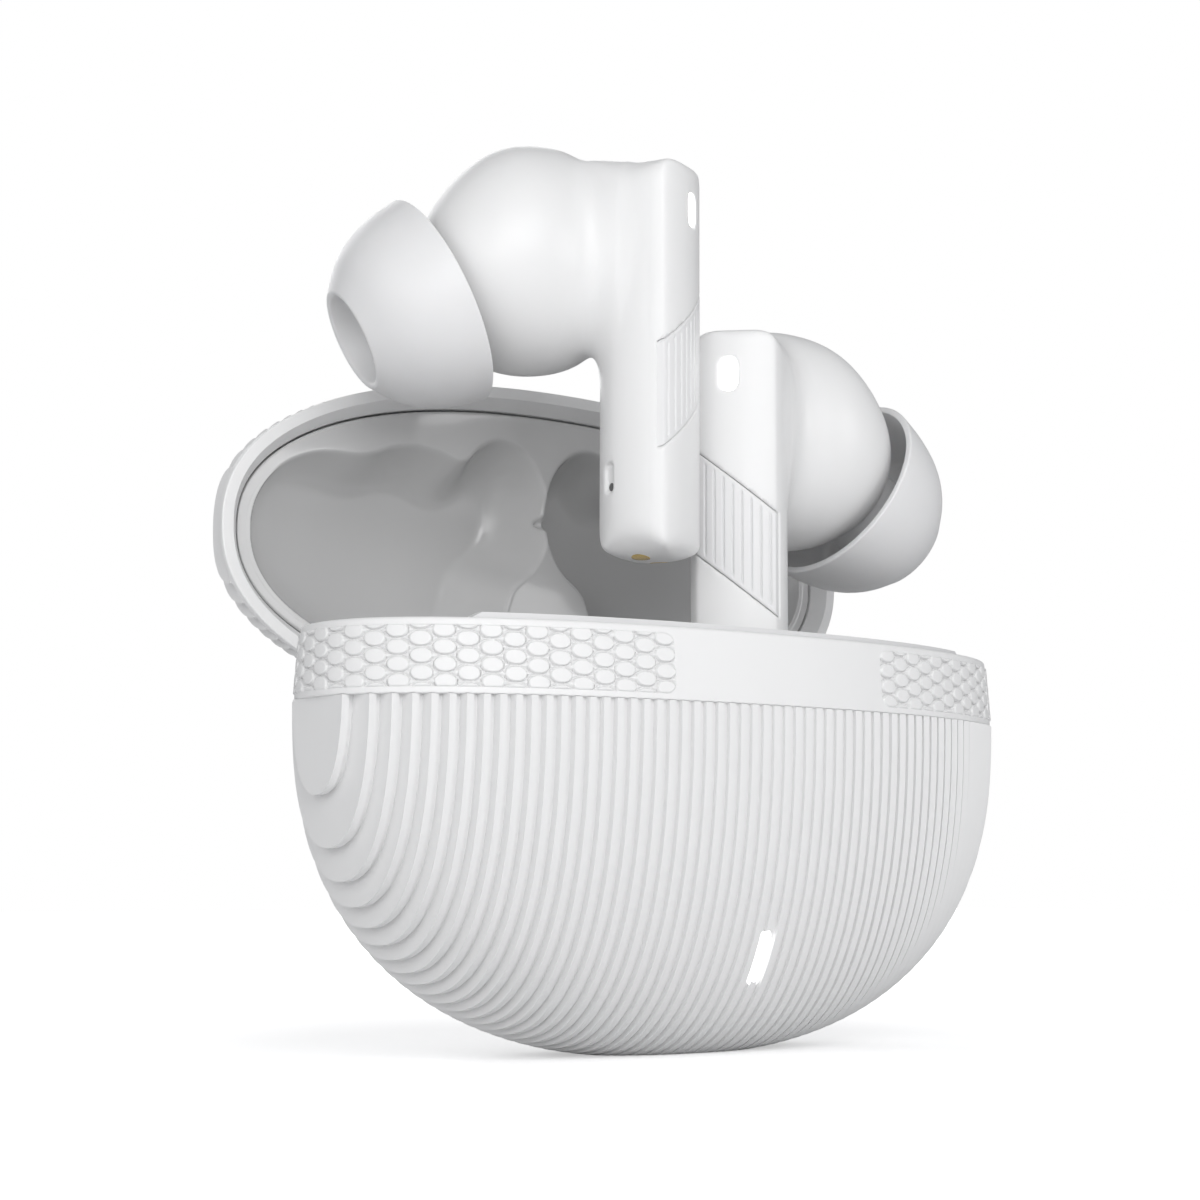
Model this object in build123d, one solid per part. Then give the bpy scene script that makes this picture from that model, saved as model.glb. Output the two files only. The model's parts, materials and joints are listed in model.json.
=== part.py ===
from build123d import *
import math
import os

# A charging case for a pair of wireless earbuds, millimetres, +Z up.
# The origin is the centre of the small flat that the case stands on.
# The case stands with its lid open, one bud lifted clear and one half way out.

# ---------------------------------------------------------------- case outline
side_room = 3.051           # from a docked ear tip's end to the bowl's side
back_room = 4.364           # from a docked bulb to the bowl's back
stem_base = 3.5             # foot of a docked stem over the table
plan_power = 2.23           # how square the oval plan is, 2 is an ellipse
profile_steps = 13          # rounded profiles are drawn in this many steps
band_height = 5.15          # plain and dimpled band under the split
band_taper = 0.40           # how much the band draws in towards the split
band_wall = 1.0             # thickness of the band at the split
equator_drop = 4.43         # the bowl starts to curve this far below the split
bowl_flat_share = 0.9846    # the foot cuts the bowl this far down its profile
bowl_side_power = 2.325
bowl_base_power = 2.495
shell_wall = 1.2
floor_wall = 1.3

# ------------------------------------------------------------------------- lid
lid_height = 9.5
lid_side_power = 2.2
lid_top_power = 2.4
lid_wall = 1.2
lid_rim_face = 0.92         # flat face that meets the band
lid_chamfer = 0.85          # sloping step inside that face
lid_chamfer_depth = 1.2
lid_gap = 0.06               # the closed lid stands this far off the band
lid_open_angle = 91.74      # how far the lid stands open at rest
liner_gap = 0.15
liner_thickness = 0.8
liner_border = 0.5          # rim of the liner around its two hollows
hollow_clearance = 4.4      # the hollows' room around the bulbs
hollow_tip_clearance = 0.3  # and around the ear tips
hollow_half_width = 4.05    # the hollows' room around the stems
hollow_half_depth = 7.2
hollow_forward = 1.3        # the stems' hollows stand this far in front of them
liner_web = 0.25            # half thickness of the wall between the hollows

# ----------------------------------------------------------------------- hinge
hinge_inset = 2.66          # hinge line in front of the bowl's back
hinge_drop = 2.62           # hinge line below the split
hinge_pin_radius = 0.8
hinge_clearance = 0.04
knuckle_radius = 1.7
knuckle_width = 1.5
hinge_half_width = 8.7      # half width of the notch behind the hinge
knuckle_gap = 0.2
spring_half_length = 3.0
spring_outer_radius = 1.45
spring_inner_radius = 1.0
sweep_radius = 2.45         # the bowl's back edge is rounded about the hinge line
sweep_half_length = 18.0    # as far as this to both sides

# ------------------------------------------------------------------------ buds
stem_length = 30.0
stem_radius = 3.74
cover_half_width = 2.97     # the face cover's two ridges
cover_ridge = 2.64          # how far the ridges stand in front of the stem axis
cover_bulge = 0.62          # crown of the cover between its ridges
cover_back = 1.7            # the cover's back face, in front of the stem axis
cover_inlay = 2.15          # the grip panel is let in as deep as this
stem_end_radius = 3.2
bud_wall = 0.9
bulb_centre = (2.0, 9.3, -7.35)       # from the stem's top, +X outwards, -Y the face
bulb_radius = 8.65          # across and up
bulb_half_depth = 6.8       # front to back
bulb_flat = 0.03            # trimmed off its two poles
neck_half_width = 4.2
neck_half_height = 6.5
neck_drop = 6.9
tip_centre = (7.3, 14.1, -10.3)       # middle of the ear tip's skirt edge
tip_axis = (0.628, 0.624, -0.465)
tip_radius = 7.95           # at the skirt's edge
tip_shoulder_radius = 7.15
tip_shoulder = 2.9          # the tip starts to narrow this far out from its edge
tip_waist_radius = 5.4
tip_waist = 5.8
tip_length = 7.3
tip_mouth_radius = 3.7
tip_depth = 8.0             # its lowest point, below the middle of its edge
tip_skin = 0.6
nozzle_radius = 2.5
nozzle_end = 4.8
tip_bore_clearance = 0.1
panel_high_edge = -9.4      # slanted grip panel, its upper edge on the inner ridge
panel_low_edge = -14.05     # and on the outer ridge
panel_height = 7.9
light_width = 1.3
light_length = 2.6
light_across = -0.5
light_drop = 3.6
contact_radius = 0.8
contact_spacing = 1.5
contact_height = 0.9
mic_turn = 27.3             # the microphone slot, turned back from the outer side
mic_width = 0.9
mic_length = 2.2
mic_rise = 5.6              # microphone slot over the stem's foot
part_gap = 0.05             # assembly gap between a bud's own pieces
driver_radius = 4.2
driver_height = 1.3
cell_radius = 3.8
cell_height = 3.0
cell_y = 5.9                # behind the stem axis

# --------------------------------------------------------- where the buds stand
stem_x = 4.302
stem_y = -3.444
dock_turn = 45.02           # both pockets are turned this far from the front
right_lift = 24.1           # top of the right bud's stem above the split
left_lift = 35.8            # top of the left bud's stem above the split
left_turn = 24.95           # the left bud is turned a little less than its pocket
dock_top = 3.5              # top of a docked stem above the split

# ------------------------------------------------------------------------ tray
tray_gap = 0.1
tray_drop = 0.4             # the tray's deck lies this far below the split
deck_thickness = 1.2
pocket_clearance = 0.35
pocket_wall = 0.7
pocket_seat_gap = 0.4       # under a docked stem
pocket_floor = 0.5
pocket_round = 2.0          # rounding at the bottom of the stem pockets
lip_height = 0.5            # raised lip along the front of the tray
lip_width = 0.8
lip_inset = 1.45
lip_half_length = 22.4
lip_end_lean = 1.6          # how far the lip's ends lean out for each unit down

# ------------------------------------------------------------ inside the bowl
pin_radius = 0.45
pin_clearance = 0.05
pin_head_radius = 0.6
pin_head_height = 0.3
pin_travel = 0.25
pin_well_gap = 0.15         # round and under a pressed pin's head
pin_shortfall = 0.05        # gap between a docked bud's contact and its pin
pin_board_thickness = 0.5
battery_size = (9.0, 8.0, 5.2)       # one of two cells
battery_x = 14.8
battery_y = -1.5
battery_gap = 0.2            # under the holding magnets
board_size = (18.0, 6.0, 0.8)
pin_board_side = 3.2        # the charge pins' board beyond the stems
pin_board_depth = 5.0
board_y = 5.3
board_base = 7.5
ballast_half_width = 11.0   # steel plate in front, it balances the open lid
ballast_thickness = 1.2
ballast_base = 10.5
ballast_gap = 1.35          # under the band
usb_width = 8.94
usb_height = 3.26
usb_length = 7.0
usb_wall = 0.3
usb_tongue_gap = 1.12
usb_tongue_thickness = 0.7
usb_y = 3.3
usb_gap = 0.15
window_width = 0.95         # status light slot in the front of the bowl
window_length = 4.0
window_z = 6.85
window_tilt = 26.0
led_size = (1.6, 0.8, 1.2)
magnet_size = (4.0, 1.2, 2.4)
magnet_x = 17.9
magnet_gap = 0.24           # to the band
lid_magnet_size = (3.0, 1.0, 1.5)
lid_magnet_lift = 0.6       # over the liner's rim
lid_magnet_gap = 0.05       # to the lid
hold_magnet_radius = 2.5
hold_magnet_height = 1.6
hold_magnet_x = 16.5
hold_magnet_y = 1.5
hold_magnet_gap = 0.05

# ------------------------------------------------------------- values worked out
# The two buds lie docked in the bowl, so its width, depth and height come from them.
dock_cos = math.cos(math.radians(dock_turn))
dock_sin = math.sin(math.radians(dock_turn))
tip_fall = -tip_axis[2]
tip_reach = math.hypot(tip_axis[0], tip_axis[1])
tip_across = stem_x + tip_centre[0] * dock_cos + tip_centre[1] * dock_sin
half_width = tip_across + tip_length * tip_reach + tip_mouth_radius * tip_fall + side_room
bulb_back = stem_y - bulb_centre[0] * dock_sin + bulb_centre[1] * dock_cos
bulb_back = bulb_back + math.hypot(bulb_radius * dock_sin, bulb_half_depth * dock_cos)
half_depth = bulb_back + back_room
rim_height = stem_base + stem_length - dock_top
rim_half_width = half_width - band_taper
lid_base = rim_height + lid_gap
rim_half_depth = half_depth - band_taper
band_base = rim_height - band_height
equator = rim_height - equator_drop
bowl_drop = equator / bowl_flat_share
hinge_z = rim_height - hinge_drop
dock_z = rim_height + dock_top
stem_seat = dock_z - stem_length
hinge_y = half_depth - hinge_inset
mic_drop = stem_length - mic_rise
ballast_top = band_base - ballast_gap
window_share = (equator - window_z) / bowl_drop
window_y = -half_depth * (1 - window_share ** bowl_base_power) ** (1 / bowl_side_power)
bulb_floor = dock_z + bulb_centre[2] - bulb_radius - pocket_clearance
neck_floor = dock_z - neck_drop - neck_half_height - pocket_clearance
tip_floor = dock_z + tip_centre[2] - tip_depth - pocket_clearance
pocket_floor_top = stem_seat - pocket_seat_gap
pin_head_top = pocket_floor_top - pocket_floor
pin_board_top = pin_head_top - pin_head_height - pin_travel
hold_top = min(bulb_floor, tip_floor) - pocket_floor - hold_magnet_gap
battery_base = hold_top - hold_magnet_height - battery_gap - battery_size[2]
front_face = -cover_ridge - cover_bulge
hinge_axis = Axis((0, hinge_y, hinge_z), (1, 0, 0))
far = 200.0


def oval(a, b, z, count=36):
    """Closed superellipse face, half sizes a and b, at height z."""
    points = []
    for i in range(count):
        t = 2 * math.pi * i / count
        c, s = math.cos(t), math.sin(t)
        x = a * math.copysign(abs(c) ** (2 / plan_power), c)
        y = b * math.copysign(abs(s) ** (2 / plan_power), s)
        points.append((x, y, z))
    return make_face(Spline(*points, periodic=True))


def oval_depth(a, b, across):
    """Half depth of the oval at a distance from its middle."""
    return b * (1 - (across / a) ** plan_power) ** (1 / plan_power)


def straight_oval(a, b, low, high):
    """Oval prism between two heights."""
    return extrude(oval(a, b, low), amount=high - low, dir=(0, 0, 1))


def profile(start, end, base_power, side_power):
    """Heights and widths along a rounded profile, both as shares of the whole."""
    first = math.asin(start ** (base_power / 2))
    last = math.asin(end ** (base_power / 2))
    steps = []
    for i in range(profile_steps + 1):
        t = first + (last - first) * i / profile_steps
        steps.append((math.sin(t) ** (2 / base_power), math.cos(t) ** (2 / side_power)))
    return steps


def bowl(inset, low):
    """The bowl's form, its wall moved in by inset, cut flat at height low."""
    drop = bowl_drop - inset
    start = (equator - band_base) / drop
    faces = []
    for s, r in profile(start, (equator - low) / drop, bowl_base_power, bowl_side_power):
        z = equator - drop * s
        faces.append(oval((half_width - inset) * r, (half_depth - inset) * r, z))
    return loft(faces, ruled=True)


def dome(inset, top_inset, low=0.0):
    """The lid's form over the split, moved in by inset and down by top_inset."""
    height = lid_height - top_inset
    faces = []
    for s, r in profile(low / height, 0.9995, lid_top_power, lid_side_power):
        a = (rim_half_width - inset) * r
        b = (rim_half_depth - inset) * r
        faces.append(oval(a, b, lid_base + height * s))
    return loft(faces, ruled=True)


def block(x0, x1, y0, y1, z0, z1):
    """Box between three pairs of limits."""
    size = Box(x1 - x0, y1 - y0, z1 - z0, align=(Align.MIN, Align.MIN, Align.MIN))
    return Pos(x0, y0, z0) * size


def rod(radius, x0, x1, y, z):
    """Cylinder along X."""
    turned = Rot(0, 90, 0) * Cylinder(radius, x1 - x0)
    return Pos((x0 + x1) / 2, y, z) * turned


def open_lid(part):
    """Turns a lid piece from closed to the angle that it rests at."""
    return part.rotate(hinge_axis, -lid_open_angle)


# ------------------------------------------------------------------- a bud's own
def stem_section():
    """Plan of the stem: crowned face between two ridges, round behind."""
    ridge_l = (-cover_half_width, -cover_ridge)
    ridge_r = (cover_half_width, -cover_ridge)
    flank = stem_radius - 0.22
    face = ThreePointArc(ridge_l, (0, front_face), ridge_r)
    side_r = ThreePointArc(ridge_r, (flank, -cover_ridge / 2), (stem_radius, 0))
    back = ThreePointArc((stem_radius, 0), (0, stem_radius), (-stem_radius, 0))
    side_l = ThreePointArc((-stem_radius, 0), (-flank, -cover_ridge / 2), ridge_l)
    return make_face(Wire([face, side_r, back, side_l]))


def stem_form():
    """The whole stem, round at its foot and round-topped in front view."""
    column = Pos(0, 0, -stem_length) * extrude(stem_section(), amount=stem_length)
    wide = 2 * stem_radius + 0.4
    front = Plane.XZ * RectangleRounded(wide, stem_length, stem_end_radius)
    front = Pos(0, far / 2, -stem_length / 2) * extrude(front, amount=far)
    deep = 2 * stem_radius + 0.2
    tall = 2 * stem_length
    side = Plane.YZ * RectangleRounded(deep, tall, stem_end_radius)
    side = Pos(-far / 2, 0, 0) * extrude(side, amount=far)
    return column & front & side


def bulb_form(grow):
    """The bulb as a flattened ball, widened by grow."""
    wide = bulb_radius + grow
    deep = bulb_half_depth + grow
    half = Ellipse(wide, deep) & Pos(wide, 0) * Rectangle(2 * wide, 2 * (deep - bulb_flat))
    return Pos(*bulb_centre) * Rot(0, -135, 0) * revolve(half, Axis.Y)


def bud_mass(inset):
    """Bulb and neck, moved in by inset."""
    bulb = bulb_form(-inset)
    neck = Plane.XZ * Ellipse(neck_half_width - inset, neck_half_height - inset)
    neck = Pos(0, 0, -neck_drop) * extrude(neck, amount=-bulb_centre[1])
    return bulb + neck


def tip_frame():
    """Plane at the ear tip's skirt edge, its Z along the nozzle."""
    return Plane(origin=tip_centre, x_dir=(0, 0, 1), z_dir=tip_axis)


def panel_prism():
    """Slanted block that marks the grip panel's edges."""
    slope = (panel_high_edge - panel_low_edge) / (2 * cover_half_width)
    reach = stem_radius + 1
    middle = (panel_high_edge + panel_low_edge) / 2
    high_in = middle + slope * reach
    high_out = middle - slope * reach
    corners = [(-reach, high_in), (reach, high_out),
               (reach, high_out - panel_height), (-reach, high_in - panel_height)]
    outline = Plane.XZ * make_face(Polyline(*corners, close=True))
    return Pos(0, far / 2, 0) * extrude(outline, amount=far)


def light_prism(gap):
    """Pill through the cover for its indicator, widened by gap."""
    pill = SlotOverall(light_length + 2 * gap, light_width + 2 * gap, rotation=90)
    return Pos(light_across, 0, -light_drop) * extrude(Plane.XZ * pill, amount=far / 2)


def mic_prism(gap, depth):
    """Pill into the stem's outer side for the microphone."""
    pill = SlotOverall(mic_length + 2 * gap, mic_width + 2 * gap, rotation=90)
    solid = extrude(Plane.YZ * pill, amount=depth)
    reach = Pos(stem_radius - depth, 0, -mic_drop) * solid
    return Rot(0, 0, mic_turn) * reach


def make_bud():
    """All pieces of a right-hand bud, its stem's top at the origin."""
    stem = stem_form()
    face_side = block(-far, far, -far, -cover_back, -far, far)
    cover = stem & face_side
    core = stem - face_side
    inner_core = Pos(0, 0, -stem_length + bud_wall)
    inner_core = inner_core * extrude(
        Circle(stem_radius - bud_wall), amount=stem_length - 2.5 * bud_wall)
    inner_core = inner_core - block(-far, far, -far, -cover_back + bud_wall, -far, far)
    plane = tip_frame()
    seat = -4.0
    nozzle = plane * Pos(0, 0, seat) * extrude(Circle(nozzle_radius), amount=nozzle_end - seat)
    bore = plane * Pos(0, 0, seat - 2) * extrude(
        Circle(nozzle_radius - 0.6), amount=nozzle_end - seat + 3)
    shell = core + bud_mass(0) + nozzle
    shell = shell - (inner_core + bud_mass(bud_wall)) - bore - face_side
    shell = shell - mic_prism(part_gap, 1.2)

    prism = panel_prism()
    inlay = block(-far, far, -far, -cover_inlay, -far, far)
    panel = cover & prism & inlay
    light_hole = light_prism(part_gap)
    cover = cover - (prism & inlay) - light_hole
    back_trim = block(-far, far, -far, -cover_back - part_gap, -far, far)
    cover = cover & back_trim
    light = (stem & light_prism(0)) & back_trim

    mouth = tip_length
    lip = tip_mouth_radius + 0.35
    sleeve_in = nozzle_radius + tip_bore_clearance
    sleeve_out = sleeve_in + 0.9
    belly = (tip_shoulder_radius + tip_waist_radius) / 2 + 0.25
    outer = Spline((tip_radius, 0), (tip_shoulder_radius, tip_shoulder),
                   (belly, (tip_shoulder + tip_waist) / 2), (tip_waist_radius, tip_waist), (lip, mouth))
    funnel = Spline((tip_mouth_radius, mouth - 0.15), (sleeve_in, nozzle_end + 0.3))
    under = Spline((sleeve_out, 3.9), (tip_waist_radius - tip_skin, tip_waist - 1.4),
                   (tip_shoulder_radius - tip_skin, tip_shoulder - 0.6), (tip_radius - tip_skin, 0))
    outline = [
        outer, Line((lip, mouth), (tip_mouth_radius, mouth - 0.15)), funnel,
        Line((sleeve_in, nozzle_end + 0.3), (sleeve_in, 0.9)),
        Line((sleeve_in, 0.9), (sleeve_out, 0.9)), Line((sleeve_out, 0.9), (sleeve_out, 3.9)),
        under, Line((tip_radius - tip_skin, 0), (tip_radius, 0))]
    profile = Plane.XZ * make_face(Wire(outline))
    tip = plane * revolve(profile, Axis.Z)
    mesh = plane * Pos(0, 0, nozzle_end) * extrude(Circle(nozzle_radius - 0.1), amount=0.2)

    driver = plane * Pos(0, 0, seat - 1.4) * extrude(Circle(driver_radius), amount=driver_height)
    cell = Pos(bulb_centre[0], cell_y, bulb_centre[2]) * Rot(90, 0, 0) * Cylinder(cell_radius, cell_height)
    board = block(-1.9, 1.9, 0.2, 1.0, -stem_length + 2.2, -neck_drop - neck_half_height + 1)
    contacts = []
    for side in (-1, 1):
        column = Pos(side * contact_spacing, 0, -stem_length) * Cylinder(
            contact_radius, 2 * contact_height, align=(Align.CENTER, Align.CENTER, Align.CENTER))
        contacts.append(column & stem)
        hole = Pos(side * contact_spacing, 0, -stem_length) * Cylinder(
            contact_radius + part_gap, 2 * (contact_height + part_gap))
        shell = shell - hole
    mic = Rot(0, 0, mic_turn) * Pos(stem_radius - 1.0, 0, -mic_drop) * (
        extrude(Plane.YZ * SlotOverall(mic_length, mic_width, rotation=90), amount=0.3))
    return {
        "bud_shell": shell, "face_cover": cover, "grip_panel": panel, "light_pipe": light,
        "ear_tip": tip, "nozzle_mesh": mesh, "driver": driver, "cell": cell,
        "bud_board": board, "charge_contacts": Compound(contacts), "mic_mesh": mic}


def place_right(part, top):
    """Stands a right-hand piece over the right pocket."""
    return Pos(stem_x, stem_y, top) * Rot(0, 0, -dock_turn) * part


def place_left(part, top, turn):
    """Mirrors a piece and stands it over the left pocket."""
    return Pos(-stem_x, stem_y, top) * Rot(0, 0, turn) * mirror(part, about=Plane.YZ)


# ------------------------------------------------------------------- the pockets
def docked(px, py):
    """Plan position of a docked right-hand bud's point."""
    turn = math.radians(-dock_turn)
    wx = stem_x + px * math.cos(turn) - py * math.sin(turn)
    wy = stem_y + px * math.sin(turn) + py * math.cos(turn)
    return wx, wy


def head_room(grow, deeper, tip_grow):
    """Room for a docked bud's bulb, neck and ear tip, open at the top."""
    top = rim_height + lid_height + 5
    x, y, _ = bulb_centre
    bx, by = docked(x, y)
    low = bulb_floor - deeper
    bulb_plan = Rot(0, 0, -dock_turn) * Ellipse(bulb_radius + grow, bulb_half_depth + grow)
    bulb = Pos(bx, by, low) * extrude(bulb_plan, amount=top - low)
    nx, ny = docked(0, y / 2)
    low = neck_floor - deeper
    neck_plan = Rot(0, 0, -dock_turn) * Rectangle(2 * (neck_half_width + grow), y)
    neck = Pos(nx, ny, low) * extrude(neck_plan, amount=top - low)
    tx, ty = docked(tip_centre[0], tip_centre[1])
    fall = -tip_axis[2]
    start = tx - tip_radius * fall - tip_grow
    end = tx + tip_length * tip_reach + tip_mouth_radius * fall + tip_grow + 0.3
    shoulder = tx + tip_shoulder + 0.5
    wide = tip_radius + tip_grow
    slim = tip_mouth_radius + 0.9 + tip_grow
    corners = [(start, ty - wide), (shoulder, ty - wide), (end, ty - slim),
               (end, ty + slim), (shoulder, ty + wide), (start, ty + wide)]
    low = tip_floor - deeper
    tip_plan = make_face(Polyline(*corners, close=True))
    tip = Pos(0, 0, low) * extrude(tip_plan, amount=top - low)
    return bulb + neck + tip


def pocket(grow, deeper):
    """Space that a docked right-hand bud needs, open at the top."""
    top = rim_height + 5
    low = pocket_floor_top - deeper
    stem = Pos(stem_x, stem_y, low) * extrude(Circle(stem_radius + grow), amount=top - low)
    stem = fillet(stem.edges().group_by(Axis.Z)[0], pocket_round + deeper)
    return stem + head_room(grow, deeper, grow)


def both_sides(part):
    """A piece and its mirror image across the middle of the case."""
    return part + mirror(part, about=Plane.YZ)


def hinge_sweep(notch_half):
    """What the lid's back edge sweeps through as it turns over the bowl."""
    corner = block(-sweep_half_length, sweep_half_length, hinge_y, far, hinge_z, rim_height + 9)
    keep = rod(sweep_radius, -sweep_half_length - 1, sweep_half_length + 1, hinge_y, hinge_z)
    notch = block(-notch_half, notch_half, hinge_y - knuckle_radius - 0.4, far,
                  band_base, rim_height + 9)
    return corner - keep + notch


def pin_spots():
    """Where the charge pins stand under the right-hand bud."""
    return [docked(-contact_spacing, 0), docked(contact_spacing, 0)]


parts = {}

# the bowl, one moulding under the band
lower_shell = bowl(0, 0) - bowl(shell_wall, floor_wall)
usb_hole = RectangleRounded(usb_width + 2 * usb_gap, usb_height + 2 * usb_gap,
                            usb_height / 2)
lower_shell = lower_shell - Pos(0, usb_y, -1) * extrude(usb_hole, amount=5)
window = Pos(0, window_y, window_z) * Rot(window_tilt, 0, 0)
window_pill = SlotOverall(window_length, window_width, rotation=90)
window_cut = SlotOverall(window_length + 2 * part_gap, window_width + 2 * part_gap, rotation=90)
lower_shell = lower_shell - window * Pos(0, 4, 0) * extrude(Plane.XZ * window_cut, amount=9)
for x, y in pin_spots():
    well = Pos(x, y, pin_board_top - pin_well_gap) * extrude(
        Circle(pin_head_radius + pin_well_gap), amount=pin_head_height + pin_travel)
    lower_shell = lower_shell - both_sides(well)
light_column = window * Pos(0, 4, 0) * extrude(Plane.XZ * window_pill, amount=9)
light_stub = light_column & (bowl(0, 0) - bowl(shell_wall + 0.4, floor_wall))
parts["lower_shell"] = lower_shell
parts["status_light_pipe"] = light_stub

# the band round the split
band = loft([oval(half_width, half_depth, band_base),
             oval(rim_half_width, rim_half_depth, rim_height)])
band = band - straight_oval(rim_half_width - band_wall, rim_half_depth - band_wall,
                            band_base - 1, rim_height + 1)
parts["rim_band"] = band - hinge_sweep(hinge_half_width + knuckle_width + knuckle_gap)

# the tray: deck, pockets, lip and hinge knuckles
tray_a = rim_half_width - band_wall - tray_gap
tray_b = rim_half_depth - band_wall - tray_gap
deck_top = rim_height - tray_drop
deck = straight_oval(tray_a, tray_b, deck_top - deck_thickness, deck_top)
limit = straight_oval(tray_a, tray_b, band_base, deck_top) + (
    bowl(shell_wall + tray_gap, floor_wall + tray_gap))
pockets = both_sides(pocket(pocket_clearance, 0))
cups = both_sides(pocket(pocket_clearance + pocket_wall, pocket_floor))
lip_ring = straight_oval(rim_half_width - lip_inset, rim_half_depth - lip_inset,
                         deck_top - 0.1, rim_height + lip_height)
lip_ring = lip_ring - straight_oval(rim_half_width - lip_inset - lip_width,
                                    rim_half_depth - lip_inset - lip_width,
                                    deck_top - 0.2, rim_height + lip_height + 1)
lip_top, lip_low = rim_height + lip_height, deck_top - 1
lip_foot = lip_half_length + lip_end_lean * (lip_top - lip_low)
lip_ends = make_face(Polyline((-lip_half_length, lip_top), (-lip_foot, lip_low),
                              (lip_foot, lip_low), (lip_half_length, lip_top), close=True))
lip_ring = lip_ring & extrude(Plane.XZ * lip_ends, amount=far)
knuckle_front = hinge_y - knuckle_radius
knuckle_low = hinge_half_width
knuckles = both_sides(
    rod(knuckle_radius, knuckle_low, knuckle_low + knuckle_width, hinge_y, hinge_z)
    + block(knuckle_low, knuckle_low + knuckle_width, knuckle_front, hinge_y,
            hinge_z, deck_top - deck_thickness))
tray = deck + (cups & limit) + lip_ring
tray = (tray - hinge_sweep(hinge_half_width)) + knuckles - pockets
pin_bore = rod(hinge_pin_radius, -knuckle_low - knuckle_width + 0.3,
               knuckle_low + knuckle_width - 0.3, hinge_y, hinge_z)
tray = tray - pin_bore
for x, y in pin_spots():
    hole = Pos(x, y, pocket_floor_top) * Cylinder(pin_radius + pin_clearance, 4)
    tray = tray - both_sides(hole)
parts["inner_tray"] = tray
parts["hinge_pin"] = pin_bore

# spring round the middle of the hinge pin
coil = rod(spring_outer_radius, -spring_half_length, spring_half_length, hinge_y, hinge_z)
parts["hinge_spring"] = coil - rod(spring_inner_radius, -spring_half_length - 1,
                                   spring_half_length + 1, hinge_y, hinge_z)

# charge pins, their board, the battery and the main board
pin_top = stem_seat - pin_shortfall
right_pins = []
for x, y in pin_spots():
    shaft = Pos(x, y, pin_head_top) * extrude(Circle(pin_radius), amount=pin_top - pin_head_top)
    head = Pos(x, y, pin_head_top - pin_head_height) * extrude(
        Circle(pin_head_radius), amount=pin_head_height)
    right_pins.append(shaft + head)
parts["charge_pins_right"] = Compound(right_pins)
parts["charge_pins_left"] = Compound([mirror(p, about=Plane.YZ) for p in right_pins])
board_plan = Pos(0, stem_y, pin_board_top - pin_board_thickness) * extrude(
    RectangleRounded(2 * (stem_x + pin_board_side), pin_board_depth, 1.0), amount=pin_board_thickness)
parts["charge_pin_board"] = board_plan & bowl(shell_wall + tray_gap, floor_wall + tray_gap)
cell_block = fillet(Box(*battery_size).edges().filter_by(Axis.Y), 1.2)
case_cell = Pos(battery_x, battery_y, battery_base + battery_size[2] / 2) * cell_block
parts["case_battery"] = Compound([case_cell, mirror(case_cell, about=Plane.YZ)])
board = Pos(0, board_y, board_base + board_size[2] / 2) * Box(*board_size)
for x in (-5.5, 5.0):
    board = board + Pos(x, board_y, board_base + board_size[2]) * Box(3.2, 3.2, 1.6)
ballast = bowl(shell_wall + tray_gap, floor_wall + tray_gap)
ballast = ballast - bowl(shell_wall + tray_gap + ballast_thickness, floor_wall + tray_gap + ballast_thickness)
parts["front_ballast"] = ballast & block(-ballast_half_width, ballast_half_width, -far, 0,
                                         ballast_base, ballast_top)
parts["main_board"] = board
usb = Pos(0, usb_y, board_base - usb_length) * extrude(
    RectangleRounded(usb_width, usb_height, usb_height / 2 - 0.05), amount=usb_length)
usb_bore = Pos(0, usb_y, board_base - usb_length - 1) * extrude(
    RectangleRounded(usb_width - 2 * usb_wall, usb_height - 2 * usb_wall, 1.2),
    amount=usb_length)
tongue = Pos(0, usb_y, board_base - usb_length + 1.2) * extrude(
    Rectangle(usb_width - 2 * usb_tongue_gap, usb_tongue_thickness), amount=usb_length - 1.2)
parts["usb_c_receptacle"] = usb - usb_bore + tongue
parts["status_led"] = window * Pos(0, 2.35, 0) * Box(*led_size)

# magnets under the deck and under the bulbs
deck_base = deck_top - deck_thickness
magnet_y = magnet_size[1] / 2 + magnet_gap - oval_depth(
    rim_half_width - band_wall, rim_half_depth - band_wall, magnet_x + magnet_size[0] / 2)
closing = Pos(magnet_x, magnet_y, deck_base - magnet_size[2] / 2) * Box(*magnet_size)
holding = Pos(hold_magnet_x, hold_magnet_y, hold_top - hold_magnet_height / 2) * Cylinder(
    hold_magnet_radius, hold_magnet_height)
parts["closing_magnets"] = Compound([closing, mirror(closing, about=Plane.YZ)])
parts["holding_magnets"] = Compound([holding, mirror(holding, about=Plane.YZ)])

# the lid, built closed and then turned open about the hinge line
edge = lid_rim_face + lid_chamfer
shell_bore = dome(edge, lid_wall, 0)
ledge = loft([oval(rim_half_width - lid_rim_face, rim_half_depth - lid_rim_face, lid_base),
              oval(rim_half_width - edge, rim_half_depth - edge, lid_base + lid_chamfer_depth)])
lid_shell = dome(0, 0) - shell_bore - ledge
arm_reach = hinge_half_width - knuckle_gap
barrel = rod(knuckle_radius, -arm_reach, arm_reach, hinge_y, hinge_z)
web = block(-arm_reach, arm_reach, hinge_y - 0.9, hinge_y + 1.2, hinge_z, rim_height + 2.6)
arm = barrel + web
arm = arm - rod(hinge_pin_radius + hinge_clearance, -far, far, hinge_y, hinge_z)
spring_room = rod(knuckle_radius + 0.3, -spring_half_length - knuckle_gap,
                  spring_half_length + knuckle_gap, hinge_y, hinge_z)
arm = arm - spring_room
arm_limit = dome(lid_rim_face, lid_wall, 0) + block(-far, far, -far, far, -far, lid_base)
arm = arm & arm_limit
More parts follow.
